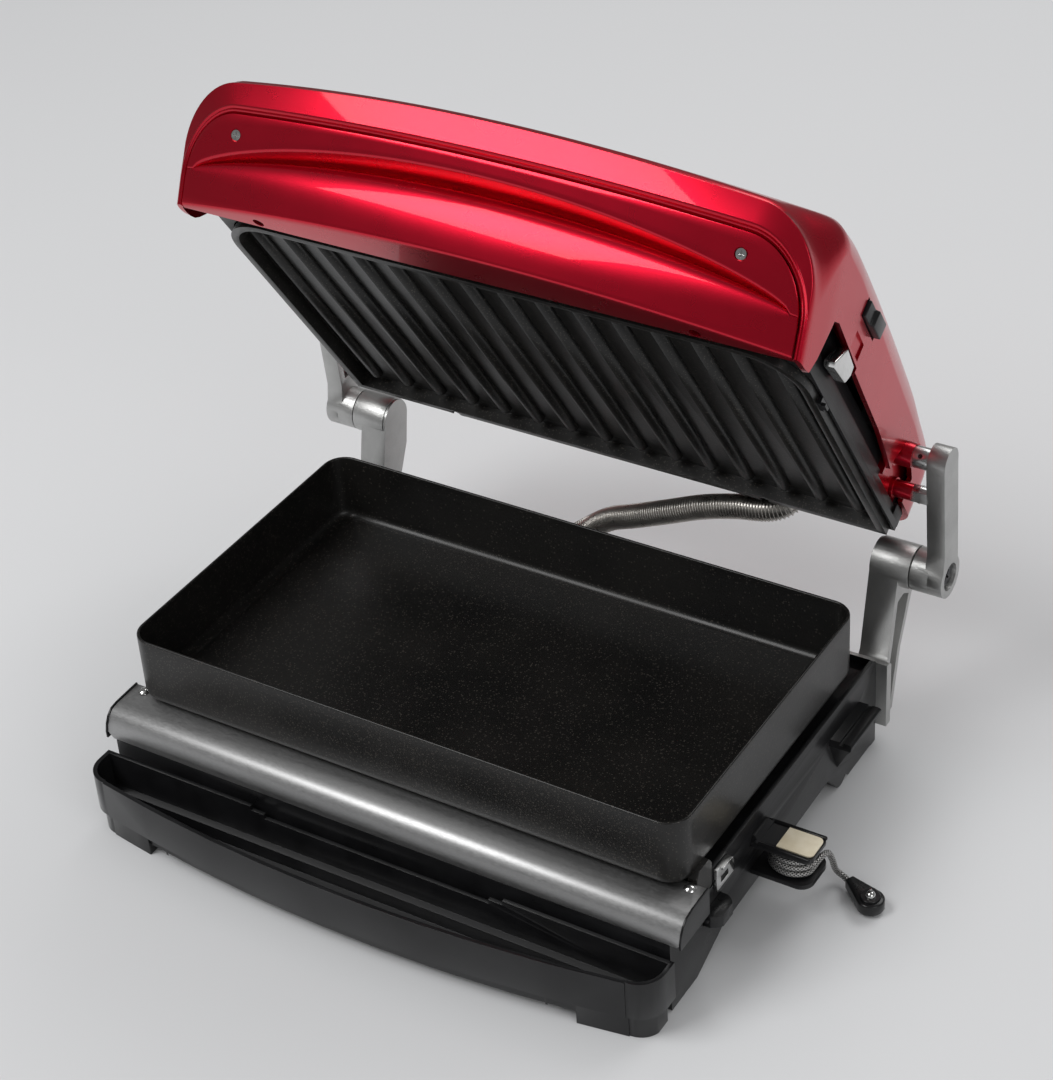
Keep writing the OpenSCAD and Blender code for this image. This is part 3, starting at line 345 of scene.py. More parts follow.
looks = {
    "red": redPaint(),
    "black": blackPlastic("blackPlastic", 0.3, 0.06, 0.00004),
    "tray": blackPlastic("trayPlastic", 0.2, 0.2, 0.00002),
    "frame": blackPlastic("framePlastic", 0.4, 0.05, 0.00006, (0.008, 0.008, 0.0085), (0.015, 0.015, 0.016)),
    "button": blackPlastic("buttonPlastic", 0.3, 0.2, 0.00003, (0.005, 0.005, 0.0055), (0.011, 0.011, 0.012)),
    "trim": brushedMetal("trimSteel", (0.5, 0.5, 0.5), (420.0, 1300.0, 1300.0), 0.43, 0.00003),
    "reflector": brushedMetal("reflectorSteel", (0.58, 0.57, 0.55), (30.0, 900.0, 900.0), 0.3, 0.00003),
    "element": heatedSteel(),
    "rubber": softRubber("feetRubber", (0.018, 0.018, 0.018), (0.035, 0.034, 0.033), 0.7),
    "cast": castMetal("castAlloy", (0.6, 0.6, 0.59), 0.37),
    "polished": brushedMetal("polishedSteel", (0.8, 0.8, 0.79), (160.0, 400.0, 160.0), 0.14, 0.00001),
    "satin": brushedMetal("satinSteel", (0.72, 0.72, 0.715), (160.0, 400.0, 160.0), 0.3, 0.00001),
    "screw": castMetal("darkScrew", (0.1, 0.1, 0.105), 0.34),
    "pad": softRubber("creamPad", (0.66, 0.58, 0.42), (0.78, 0.71, 0.56), 0.55),
    "braid": braidedSteel(),
    "hose": brushedMetal("hoseSteel", (0.56, 0.535, 0.5), (120.0, 120.0, 120.0), 0.3, 0.00001),
    "pan": panCoating("panCoating", 0.1),
    "plate": panCoating("plateCoating", 0.2),
}
print("materials ready")


# Work on meshes and pieces
@contextmanager
def editing(mesh, source=None):
    work = bmesh.new()
    work.from_mesh(source or mesh)
    yield work
    work.to_mesh(mesh)
    work.free()


def smoothed(mesh, angle):
    mesh.shade_smooth()
    mesh.set_sharp_from_angle(angle=radians(angle))


def rawMesh(name, points, edges, faces):
    mesh = bpy.data.meshes.new(name)
    mesh.from_pydata([tuple(point) for point in points], edges, faces)
    return mesh


def roundEdges(work, edges, width, segments):
    bmesh.ops.bevel(work, geom=edges, offset=width / 1000, segments=segments, profile=0.5, affect="EDGES")


def finished(obj, look, body, nodes):
    obj.data.materials.clear()
    obj.data.materials.append(looks[look])
    if nodes:
        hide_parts(*nodes)
    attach(obj, body)
    return obj


def addPiece(name, mesh, look, body, nodes):
    return finished(linked(name, mesh), look, body, nodes)


def meshOf(name, points, faces, smoothAngle=32.0):
    mesh = rawMesh(name, points, [], faces)
    with editing(mesh) as work:
        bmesh.ops.remove_doubles(work, verts=work.verts, dist=2e-6)
        bmesh.ops.recalc_face_normals(work, faces=work.faces)
    smoothed(mesh, smoothAngle)
    return mesh


# Faces between rows of equally many points, open at the sides or closed to a band
def gridFaces(rows, columns):
    return [
        (i * columns + j, i * columns + j + 1, (i + 1) * columns + j + 1, (i + 1) * columns + j)
        for i in range(rows - 1) for j in range(columns - 1)
    ]


def bandFaces(rows, columns, first=0):
    faces = []
    for i in range(rows - 1):
        near, far = first + i * columns, first + (i + 1) * columns
        for j in range(columns):
            k = (j + 1) % columns
            faces.append((near + j, near + k, far + k, far + j))
    return faces


def capFaces(rows, columns, first=0):
    return [tuple(range(start, start + columns)) for start in (first, first + (rows - 1) * columns)]


def bridged(work, near, far):
    corners = list(zip(near, near[1:] + near[:1], far[1:] + far[:1], far))
    return [work.faces.new(near), work.faces.new(far)] + [work.faces.new(face) for face in corners]


def evaluated(obj):
    graph = bpy.context.evaluated_depsgraph_get()
    shown = obj.evaluated_get(graph)
    mesh = bpy.data.meshes.new_from_object(shown, preserve_all_data_layers=True, depsgraph=graph)
    obj.modifiers.clear()
    old = obj.data
    obj.data = mesh
    bpy.data.meshes.remove(old)
    return mesh


# A node of the frame with its edges rounded; the sizes are metres and degrees
rounding = {"merge": 4e-6, "shortest": 2e-6, "flat": 1.2, "segments": 3, "angle": 34.0}


def softened(name, node, look, body, width):
    mesh = bpy.data.meshes.new(name)
    with editing(mesh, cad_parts[node].data) as work:
        bmesh.ops.remove_doubles(work, verts=work.verts, dist=rounding["merge"])
        bmesh.ops.dissolve_degenerate(work, edges=work.edges, dist=rounding["shortest"])
        flat = radians(rounding["flat"])
        bmesh.ops.dissolve_limit(work, angle_limit=flat, verts=work.verts, edges=work.edges)
    mesh.shade_smooth()
    obj = linked(name, mesh)
    bevel = obj.modifiers.new("rounding", "BEVEL")
    bevel.width = width / 1000
    bevel.segments = rounding["segments"]
    bevel.limit_method = "ANGLE"
    bevel.angle_limit = radians(rounding["angle"])
    bevel.use_clamp_overlap = True
    bevel.harden_normals = True
    bevel.miter_outer = "MITER_ARC"
    evaluated(obj)
    finished(obj, look, body, [node])


# Tube along a path, with a map that runs around it and along it in diameters
def tubeMesh(name, path, radius, sides):
    points, faces, around = [], [], []
    ends = zip(path[:1] + path[:-1], path[1:] + path[-1:])
    heading = [(after - before).normalized() for before, after in ends]
    side = Vector((0, 0, 1))
    distance = [0.0]
    for i in range(1, len(path)):
        distance.append(distance[-1] + (path[i] - path[i - 1]).length)
    for i, point in enumerate(path):
        side = (side - side.dot(heading[i]) * heading[i]).normalized()
        other = heading[i].cross(side)
        for k in range(sides):
            a = 2 * pi * k / sides
            points.append(point + radius * (cos(a) * side + sin(a) * other))
    for i in range(len(path) - 1):
        for k in range(sides):
            j = (k + 1) % sides
            faces.append((i * sides + k, (i + 1) * sides + k, (i + 1) * sides + j, i * sides + j))
            u, after = k / sides, (k + 1) / sides
            around.append([(u, i), (u, i + 1), (after, i + 1), (after, i)])
    last = (len(path) - 1) * sides
    faces.append(tuple(range(sides)))
    faces.append(tuple(last + k for k in reversed(range(sides))))
    mesh = rawMesh(name, points, [], faces)
    layer = mesh.uv_layers.new(name="cableMap")
    loop = 0
    for corners in around:
        for u, i in corners:
            layer.data[loop].uv = (u, distance[i] / (2 * radius))
            loop += 1
    with editing(mesh) as work:
        bmesh.ops.recalc_face_normals(work, faces=work.faces)
    smoothed(mesh, 60)
    return mesh


def smoothRoute(points, steps):
    points = [Vector(point) for point in points]
    route = []
    for i in range(len(points) - 1):
        a = points[i - 1] if i else 2 * points[0] - points[1]
        b, c = points[i], points[i + 1]
        d = points[i + 2] if i + 2 < len(points) else 2 * points[-1] - points[-2]
        for k in range(steps):
            t = k / steps
            point = 2 * b + (c - a) * t
            point += (2 * a - 5 * b + 4 * c - d) * t ** 2
            point += (3 * b - a - 3 * c + d) * t ** 3
            route.append(0.5 * point)
    return route + [points[-1]]


# Probe cable: out of the cheek, down the cleat in turns, and along the table to the probe
cable = {
    "diameter": 3.2, "turns": 2.5, "rise": 3.9, "centre": (179.0, 90.5), "half": (10.5, 8.0), "low": 27.4,
    "steps": 24, "sides": 16, "bend": 3, "cheek": 162.05, "start": 189.5, "leadIn": (3.2, 1.6),
}
leadRoute = [
    (189.5, 93.7, 27.4), (189.5, 98, 27.4), (189.8, 103, 27.2), (190.3, 108, 24.5), (190.8, 111.2, 18),
    (191, 113.6, 11), (191.5, 116, 6.4), (195, 115.6, 5), (199, 113.4, 5),
]


def ovalPoint(t):
    a = -2 * pi * t
    (x, y), (wide, deep) = cable["centre"], cable["half"]
    return Vector((x + wide * cos(a), y + deep * sin(a), cable["low"] + cable["rise"] * t))


def cableRoute():
    steps, bend = cable["steps"], cable["bend"]
    start, middle, low = cable["start"], cable["centre"][1], cable["low"]
    wound = [Vector((start, middle + ahead, low)) for ahead in cable["leadIn"]]
    wound += [ovalPoint(i / steps) for i in range(int(steps * cable["turns"]) + 1)]
    end = ovalPoint(cable["turns"])
    for a in map(radians, (30, 60, 90)):
        wound.append(Vector((end.x - bend * (1 - cos(a)), end.y + bend * sin(a), end.z)))
    wound.append(Vector((cable["cheek"], end.y + bend, end.z)))
    lead = smoothRoute(leadRoute, 5)
    return [rowPoint(*point) for point in list(reversed(wound)) + lead[1:]]


def makeCable():
    route = cableRoute()
    mesh = tubeMesh("probeCable", route, cable["diameter"] / 2000, cable["sides"])
    obj = addPiece("probeCable", mesh, "braid", "base", ["probe_cable", "probe_lead"])
    length = sum((route[i + 1] - route[i]).length for i in range(len(route) - 1))
    return obj, route, length


probeCable, cablePath, cableLength = makeCable()


# Probe handle: a drop outline with rounded edges, and a raised ring; a level has a height and an inset
handle = {
    "start": (199.05, 113.4, 5.0), "turn": -28.8, "head": 17.4, "radius": 7.0, "neck": 2.4, "disc": 5.0,
    "levels": [(-3.4, 0.9), (-3.0, 0.25), (-2.5, 0), (2.3, 0), (2.8, 0.25), (3.2, 0.9)],
    "ringLevels": [(3.0, 0), (4.1, 0), (4.4, 0.3)], "steps": 32, "ringSteps": 18, "tail": 0.4,
}


def handlePoint(u, v, w):
    a = radians(handle["turn"])
    x, y, z = handle["start"]
    return rowPoint(x + u * cos(a) - v * sin(a), y + u * sin(a) + v * cos(a), z + w)


def dropLoop(inset):
    head, steps = handle["head"], handle["steps"]
    lean = degrees(asin((handle["radius"] - handle["neck"]) / head))
    size = handle["radius"] - inset
    loop = []
    for i in range(steps + 1):
        a = radians(-90 - lean + (180 + 2 * lean) * i / steps)
        loop.append((head + size * cos(a), size * sin(a)))
    tail = inset * handle["tail"]
    return loop + [(tail, handle["neck"] - inset), (tail, inset - handle["neck"])]


def discLoop(radius):
    angles = [pi * k / handle["ringSteps"] for k in range(2 * handle["ringSteps"])]
    return [(handle["head"] + radius * cos(a), radius * sin(a)) for a in angles]


def makeHandle():
    points, faces = [], []
    stacks = [[(w, dropLoop(inset)) for w, inset in handle["levels"]]]
    for side in (-1, 1):
        stacks.append([(side * w, discLoop(handle["disc"] - inset)) for w, inset in handle["ringLevels"]])
    for stack in stacks:
        first, columns = len(points), len(stack[0][1])
        for w, loop in stack:
            points += [handlePoint(u, v, w) for u, v in loop]
        faces += bandFaces(len(stack), columns, first) + capFaces(len(stack), columns, first)
    mesh = meshOf("probeHandle", points, faces, 35.0)
    return addPiece("probeHandle", mesh, "button", "base", ["probe_handle"])


probeHandle = makeHandle()
print("cable ready")


# Ribbed hose from the base's gland to the lid's gland, in two stretches; joint is how many metres before and
# after their shared step the bend of one ends and that of the other starts
hose = {
    "diameter": 13.6, "ribs": 128, "ribDepth": 0.75, "wireShare": 0.62, "lowerRibs": 74, "sides": 28,
    "wireSides": 8, "baseEnd": (-45, 250, 40), "lidEnd": (94, 253, 117), "joint": (0.006, 0.008),
}
hoseRoute = [
    (-45, 230, 40), (-45, 244, 40), (-44, 258, 41), (-30, 263, 52), (-14, 257, 66), (6, 249, 79),
    (28, 245, 91), (51, 243.8, 102), (71, 243.6, 108.6), (86, 244.4, 111.2), (95.2, 247.4, 113.5),
    (99.5, 252.8, 117.25), (99.5, 264.5, 124.9),
]


def evenly(path, count):
    steps = [(after - before).length for before, after in zip(path, path[1:])]
    reach = np.concatenate([[0], np.cumsum(steps)])
    even = np.linspace(0, reach[-1], count + 1)
    axes = [np.interp(even, reach, [point[k] for point in path]) for k in range(3)]
    return [Vector(point) for point in zip(*axes)]


# Geometry nodes: a ring on every step of a line
def ringTree():
    tree = bpy.data.node_groups.new("ringsOnLine", "GeometryNodeTree")
    face = tree.interface
    sockets = {
        "Geometry": "NodeSocketGeometry", "Count": "NodeSocketInt", "Ring radius": "NodeSocketFloat",
        "Wire radius": "NodeSocketFloat", "Finish": "NodeSocketMaterial",
    }
    for label, kind in sockets.items():
        face.new_socket(label, in_out="INPUT", socket_type=kind)
    face.new_socket("Geometry", in_out="OUTPUT", socket_type="NodeSocketGeometry")
    given = addNode(tree, "NodeGroupInput")
    line = given.node("GeometryNodeMeshToCurve", {}, {0: given.output("Geometry")})
    spaced = line.node("GeometryNodeResampleCurve", {}, {"Curve": line, "Count": given.output("Count")})
    tangent = spaced.node("GeometryNodeInputTangent")
    turned = spaced.node("FunctionNodeAlignRotationToVector", {"axis": "Z"}, {"Vector": tangent})
    circle = "GeometryNodeCurvePrimitiveCircle"
    ring = spaced.node(circle, {}, {"Resolution": hose["sides"], "Radius": given.output("Ring radius")})
    wire = spaced.node(circle, {}, {"Resolution": hose["wireSides"], "Radius": given.output("Wire radius")})
    torus = ring.node("GeometryNodeCurveToMesh", {}, {"Curve": ring, "Profile Curve": wire})
    where = {"Points": spaced, "Instance": torus, "Rotation": turned}
    placed = torus.node("GeometryNodeInstanceOnPoints", {}, where)
    real = placed.node("GeometryNodeRealizeInstances", {}, {0: placed})
    smooth = real.node("GeometryNodeSetShadeSmooth", {}, {0: real})
    finish = {"Geometry": smooth, "Material": given.output("Finish")}
    painted = smooth.node("GeometryNodeSetMaterial", {}, finish)
    given.node("NodeGroupOutput", {}, {0: painted})
    return tree


# One stretch of the hose between two steps of its line
def makeHose(name, tree, route, ribs):
    radius, wire = hose["diameter"] / 2, hose["ribDepth"] * hose["wireShare"]
    core = tubeMesh("hoseCore", route, (radius - hose["ribDepth"]) / 1000, hose["sides"])
    line = rawMesh("hoseLine", route[1:-1], [(i, i + 1) for i in range(len(route) - 3)], [])
    obj = linked("hoseRibs", line)
    rings = obj.modifiers.new("rings", "NODES")
    rings.node_group = tree
    values = {"Count": ribs, "Ring radius": (radius - wire) / 1000, "Wire radius": wire / 1000}
    values["Finish"] = looks["hose"]
    for item in tree.interface.items_tree:
        if item.in_out == "INPUT" and item.name in values:
            rings[item.identifier] = values[item.name]
    mesh = evaluated(obj)
    with editing(mesh) as work:
        work.from_mesh(core)
        bmesh.ops.recalc_face_normals(work, faces=work.faces)
    bpy.data.meshes.remove(core)
    mesh.materials.clear()
    mesh.materials.append(looks["hose"])
    mesh.shade_smooth()
    obj.name = name
    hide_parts("conduit")
    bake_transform(obj)


def makeHoses():
    tree = ringTree()
    lower, upper = hose["lowerRibs"], hose["ribs"] - hose["lowerRibs"]
    route = [rowPoint(*point) for point in evenly(smoothRoute(hoseRoute, 12), 2 * hose["ribs"])]
    split = 2 * lower
    start, end = rowPoint(*hose["baseEnd"]), rowPoint(*hose["lidEnd"])
    makeHose("hoseLower", tree, route[:split + 1], lower)
    makeHose("hoseUpper", tree, route[split:], upper)


makeHoses()
print("hose ready")


# Domed cover: the section at each station runs over the top, then the front rim with its double bead
dome = {
    "frontHalf": 170.4, "rearHalf": 163.0, "widens": 232, "rear": -27.0, "length": 263.0, "corner": 21.0,
    "height": 82.1, "arch": 0.00137, "peak": 79, "sideRadius": 34.0, "sideFoot": 15, "crown": 2.4,
    "wall": 2.6, "rimRadius": 4.0, "rimFall": 0.28, "rimTuck": 0.6, "bead": 0.75, "tableShort": 10,
}
# Front face: lower edge and rise, and each edge's reach with its fall towards the sides
frontFace = {"bottom": -5, "rise": 40, "low": (226, 20.4), "high": (248.5, 17)}
# Opening for the panel
window = {"half": 166.4, "top": 35.4, "radius": 28.4, "bottom": -5.0}
# Height of the double bead at a distance outside the panel's edge
beadLine = [
    (3.5, 0.0), (3.2, 0.25), (2.9, 0.75), (2.55, 1.0), (2.2, 0.8), (1.95, 0.3), (1.75, 0.0), (1.55, 0.3),
    (1.3, 0.7), (1.05, 0.75), (0.8, 0.5), (0.6, 0.0), (0.4, -0.8), (0.0, -1.4),
]
# Lower edge of the sides, as distance and height in the lid's frame
skirtEdge = [
    (-27, 17), (-16, 17), (5, 16.5), (35, 17.5), (60, 20.5), (81, 22.2), (115, 22.6), (143, 23.2),
    (160, 19), (180, 14), (190, 8.5), (199, 2.5), (208, -3), (217, -5), (260, -5),
]
# The side is flat up to a crease, then an arc leans in; the shares fade the crease out at both ends
crease = {
    "lean": 12.0, "gap": 0.6, "gather": 1.5, "under": 9,
    "line": [(-27, 40), (30, 47.5), (86, 49.5), (163, 53), (195, 51.5), (222, 47.5), (260, 40)],
    "shares": [(0.03, 0), (0.14, 1), (0.86, 1), (0.97, 0)],
}
# Steps of an arch from the right skirt over the crown to the left skirt, and the stations near the rear
archSteps = {"skirt": 8, "corner": 16, "crown": 22}
rearStations = [0, 0.0015, 0.004, 0.008, 0.014, 0.022, 0.032, 0.044, 0.056, 0.068, 0.08]


def frontS(x, h):
    u = (x / dome["frontHalf"]) ** 2
    low, high = (reach - fall * u for reach, fall in (frontFace["low"], frontFace["high"]))
    return low + (h - frontFace["bottom"]) / frontFace["rise"] * (high - low)


def domeSize(v, inset):
    s = dome["rear"] + v * dome["length"]
    back = min(1, (s - dome["rear"]) / dome["corner"])
    fall = dome["corner"] * (1 - sqrt(max(0, 1 - (1 - back) ** 2)))
    share = max(0, min(1, (s - dome["rear"]) / dome["widens"]))
    wide = dome["rearHalf"] + (dome["frontHalf"] - dome["rearHalf"]) * share
    return wide - fall - inset, dome["height"] - dome["arch"] * (s - dome["peak"]) ** 2 - fall - inset


def archRadius(top, inset):
    return min(dome["sideRadius"] - inset, (top - dome["sideFoot"]) * 0.9)


def overCrown(points, half, top, crown):
    for i in range(archSteps["crown"]):
        t = 1 - i / archSteps["crown"]
        points.append((half * t, top + crown * (1 - t * t)))
    return points + [(0, top + crown)] + [(-x, h) for x, h in reversed(points)]


def archOutline(half, top, radius, crown, low):
    foot = top - radius
    points = [(half, low + (foot - low) * i / archSteps["skirt"]) for i in range(archSteps["skirt"])]
    for i in range(archSteps["corner"]):
        a = pi / 2 * i / archSteps["corner"]
        points.append((half - radius + radius * cos(a), foot + radius * sin(a)))
    return overCrown(points, half - radius, top, crown)


def creasedOutline(half, top, crown, low, fold):
    lean = radians(crease["lean"])
    radius = (top - fold) / (1 - sin(lean))
    middle = half - radius * cos(lean)
    skirt = archSteps["skirt"] - 1
    points = [(half, low + (fold - crease["gap"] - low) * i / skirt) for i in range(skirt + 1)]
    for i in range(archSteps["corner"]):
        a = lean + (pi / 2 - lean) * (i / archSteps["corner"]) ** crease["gather"]
        points.append((middle + radius * cos(a), top - radius + radius * sin(a)))
    return overCrown(points, middle, top, crown)


def coverArch(v, inset):
    half, top = domeSize(v, inset)
    start = dome["rear"] + inset
    along = dome["rear"] + v * (dome["length"] - dome["tableShort"])
    low = float(np.interp(along, *zip(*skirtEdge)))
    fold = min(float(np.interp(along, *zip(*crease["line"]))) - inset / 2, top - crease["under"])
    share = float(np.interp(v, *zip(*crease["shares"])))
    plain = archOutline(half, top, archRadius(top, inset), dome["crown"], low)
    folded = creasedOutline(half, top, dome["crown"], low, fold)
    outline = [(a + (c - a) * share, b + (d - b) * share) for (a, b), (c, d) in zip(plain, folded)]
    return [(x, start + v * (frontS(x, h) - inset - start), h) for x, h in outline]


def windowOutline(grow):
    half, top, radius = (window[key] + grow for key in ("half", "top", "radius"))
    return archOutline(half, top, radius, 0.0, window["bottom"])


def coverRows():
    stations = rearStations + list(np.linspace(0.1, 0.975, 46))
    rows = [coverArch(v, 0) for v in stations]
    r = dome["rimRadius"]
    for a in map(radians, (15, 30, 45, 60, 75, 90)):
        half, top = domeSize(1, r * (1 - cos(a)) * dome["rimFall"])
        outline = archOutline(half, top, archRadius(top, 0), dome["crown"], window["bottom"])
        rows.append([(x, frontS(x, h) - dome["bead"] - r * (1 - sin(a)), h) for x, h in outline])
    for away, lift in beadLine:
        outline = windowOutline(away)
        rows.append([(x, frontS(x, h) - dome["bead"] * (1 - lift), h) for x, h in outline])
    rows.append([(x, frontS(x, h) - dome["wall"], h) for x, h in windowOutline(0)])
    rows.append(coverArch(1, dome["wall"] + dome["rimTuck"]))
    return rows + [coverArch(v, dome["wall"]) for v in reversed(stations)]


# Outside and inside meet over the front rim, are joined along the lower edges, and are walled at the rear
def makeCover():
    rows = coverRows()
    count, columns = len(rows), len(rows[0])
    points = [lidPoint(*point) for row in rows for point in row]
    faces = gridFaces(count, columns)
    for i in range(count // 2):
        mirrored = count - 1 - i
        if i + 1 < mirrored:
            for edge in (0, columns - 1):
                a, b = i * columns + edge, (i + 1) * columns + edge
                c, d = (mirrored - 1) * columns + edge, mirrored * columns + edge
                faces.append((a, b, c, d) if b != c else (a, b, d))
    faces += capFaces(count, columns)
    faces.append((0, columns - 1, count * columns - 1, (count - 1) * columns))
    mesh = meshOf("lidCover", points, faces, 38.0)
    return addPiece("lidCover", mesh, "red", "lid", ["lid_cover"])


# Solids in the lid's frame, to cut away or to round
def lidBox(x0, x1, s0, s1, h0, h1):
    corners = [lidPoint(x, s, h) for x in (x0, x1) for s in (s0, s1) for h in (h0, h1)]
    sides = [(0, 1, 3, 2), (4, 6, 7, 5), (0, 4, 5, 1), (2, 3, 7, 6), (0, 2, 6, 4), (1, 5, 7, 3)]
    return meshOf("cutter", corners, sides)


def prismMesh(near, far):
    count = len(near)
    return meshOf("cutter", near + far, capFaces(2, count) + bandFaces(2, count))


def lidPrism(x0, x1, outline):
    return prismMesh(*([lidPoint(x, s, h) for s, h in outline] for x in (x0, x1)))


def lidRod(start, end, radius, sides=32):
    a, b = lidPoint(*start), lidPoint(*end)
    along = (b - a).normalized()
    side = along.orthogonal().normalized()
    other = along.cross(side)
    angles = [2 * pi * k / sides for k in range(sides)]
    ring = [side * cos(angle) + other * sin(angle) for angle in angles]
    return prismMesh(*([centre + radius / 1000 * spoke for spoke in ring] for centre in (a, b)))


def cutAway(obj, cutters, smoothAngle=38.0):
    made = []
    for mesh in cutters:
        cutter = linked("cutter", mesh)
        step = obj.modifiers.new("cut", "BOOLEAN")
        step.operation, step.solver, step.object = "DIFFERENCE", "EXACT", cutter
        made.append(cutter)
    mesh = evaluated(obj)
    for cutter in made:
        bpy.data.meshes.remove(cutter.data)
    smoothed(mesh, smoothAngle)


# Pocket round the two hinge bosses, on both sides, as distance and height in the lid's frame
bossPocket = [(7, 10), (7, 30), (26.5, 37.5), (31, 39), (35.5, 37.5), (37.3, 34), (43, 24), (43, 10)]
# Notch for the latch in the right side's lower edge
latchNotch = [(140.5, -8), (140.5, 25.4), (160, 26.2), (182.4, 26.9), (188.5, 24.5), (190.3, 4), (194, -8)]
# Hole for the release button and the recess under it
buttonHole = (150, 180, 134.6, 160.4, 42.6, 52.4)
buttonRecess = (167.6, 180, 143.2, 158, 27.4, 36.2)

lidCover = makeCover()
cutAway(lidCover, [
    lidPrism(146, 180, bossPocket), lidPrism(-180, -146, bossPocket), lidBox(*buttonHole),
    lidBox(*buttonRecess), lidPrism(150, 180, latchNotch),
])
print("cover ready")


# Wall that closes the pocket on each side; each hinge boss has a place and a clearance
pocketWall = {
    "near": 157.2, "far": 159.0, "outline": [(4, 12), (4, 34), (26, 42), (42, 42), (46, 24), (46, 12)],
    "bosses": [((31.1, 33.0), 4.4), ((14.9, 20.2), 2.0)], "cut": (150, 170),
}


def makePocketWall(name, side):
    mesh = lidPrism(side * pocketWall["near"], side * pocketWall["far"], pocketWall["outline"])
    mesh.name = name
    obj = addPiece(name, mesh, "red", "lid", [])
    near, far = (side * reach for reach in pocketWall["cut"])
    cutAway(obj, [lidRod((near, *place), (far, *place), radius) for place, radius in pocketWall["bosses"]])


makePocketWall("pocketWallRight", 1)
makePocketWall("pocketWallLeft", -1)

# Front panel: the lid's section with its grip scoop, lofted from end to end; under and over are its edges
panel = {
    "half": 166.0, "tip": 162.0, "top": 35, "radius": 28, "rear": 203.6, "thick": 3.2, "lip": 1.1,
    "deep": 15.0, "flat": 0.02, "fade": 0.55, "shut": 10, "rise": 18, "dip": 11.4, "undercut": 2.4,
    "rimGap": 1.2, "footGap": 0.2, "sections": 150, "scoopSteps": 24, "bottom": -5.0,
    "under": [(-5, 3, -5.0), (-4.7, 1.1, -4.8), (-4.4, 0.3, -4.5), (-4, 0, -4.0)],
    "over": [(0.9, 0), (0.3, 0.25), (0, 0.9)],
}


def scoopShare(x):
    return 0 if abs(x) >= panel["tip"] else cos(pi / 2 * abs(x) / panel["tip"]) ** panel["fade"]


def panelTop(x):
    past = abs(x) - (panel["half"] - panel["radius"])
    if past <= 0:
        return panel["top"]
    return panel["top"] - panel["radius"] + sqrt(max(0, panel["radius"] ** 2 - past ** 2))


def panelFace(x):
    share, top, shut, foremost = scoopShare(x), panelTop(x), panel["shut"], panel["under"][-1][2]
    cut = min(shut + panel["rise"] * share, top - panel["rimGap"])
    foot = min(shut - panel["dip"] * share, cut - panel["footGap"])
    deep, lip = panel["deep"] * share + panel["flat"], min(panel["lip"], (top - cut) * 0.4)
    points = [(panel["rear"], panel["bottom"])]
    points += [(frontS(x, at) - back, h) for at, back, h in panel["under"]]
    points += [(frontS(x, h), h) for h in (foremost + (foot - foremost) * t for t in (0.3, 0.6, 0.85, 1.0))]
    for i in range(1, panel["scoopSteps"] + 1):
        a = pi / 2 * i / panel["scoopSteps"]
        h = foot + (cut - panel["undercut"] * share - foot) * sin(a)
        points.append((frontS(x, h) - deep * (1 - cos(a)), h))
    points += [(frontS(x, cut) - deep * 0.8, cut - 0.5 * share), (frontS(x, cut) - lip, cut)]
    for a in map(radians, (30, 60, 90)):
        h = cut + lip * (1 - cos(a))
        points.append((frontS(x, h) - lip * (1 - sin(a)), h))
    rest = top - panel["over"][0][0] - cut - lip
    points += [(frontS(x, h), h) for h in (cut + lip + rest * t for t in (0.25, 0.5, 0.75))]
    return points + [(frontS(x, top - down) - back, top - down) for down, back in panel["over"]]


# The face, then its back in reverse
def panelSection(x):
    face, top = panelFace(x), panelTop(x)
    under = len(panel["under"]) + 1
    limit = face[under - 1][0] - panel["thick"]
    back = []
    for i, (s, h) in enumerate(face):
        if i < under:
            back.append((min(s, limit) if i else panel["rear"], -2.4 + 0.2 * i))
        else:
            back.append((s - panel["thick"], min(top, h + 0.9 * (i - under + 1) / (len(face) - under))))
    return face + back[::-1]


def makePanel():
    half, tip = panel["half"], panel["tip"]
    ends = [-half, -half + 0.5, -half + 1.2]
    inside = list(np.linspace(-tip, tip, panel["sections"] + 1))
    xs = ends + [-tip - 1.2] + inside + [tip + 1.2] + [-x for x in ends[::-1]]
    sections = [panelSection(x) for x in xs]
    size = len(sections[0])
    points = [lidPoint(x, s, h) for x, section in zip(xs, sections) for s, h in section]
    faces = bandFaces(len(xs), size)
    last = (len(xs) - 1) * size
    for j in range(size // 2 - 1):
        faces.append((j, j + 1, size - 2 - j, size - 1 - j))
        faces.append((last + j, last + j + 1, last + size - 2 - j, last + size - 1 - j))
    mesh = meshOf("lidPanel", points, faces, 40.0)
    return addPiece("lidPanel", mesh, "red", "lid", ["lid_front_panel"])


# Holes in the panel: for the screws in its leaning face, and in the strip under it
faceHole = {"x": 136, "h": 26, "lean": 29.4, "from": -4, "to": 1.3, "radius": 3.1}
stripHole = {"x": 119, "s": 207.6, "from": -8, "to": -0.6, "radius": 3.0}


def alongScrew(x, depth):
    a, h = radians(faceHole["lean"]), faceHole["h"]
    return (x, frontS(x, h) - cos(a) * depth, h + sin(a) * depth)


def panelHoles():
    face, strip, holes = faceHole, stripHole, []
    for x in (-face["x"], face["x"]):
        holes.append(lidRod(alongScrew(x, face["from"]), alongScrew(x, face["to"]), face["radius"]))
    for x in (-strip["x"], strip["x"]):
        ends = ((x, strip["s"], h) for h in (strip["from"], strip["to"]))
        holes.append(lidRod(*ends, strip["radius"]))
    return holes


lidPanel = makePanel()
cutAway(lidPanel, panelHoles(), smoothAngle=40.0)
print("panel ready")


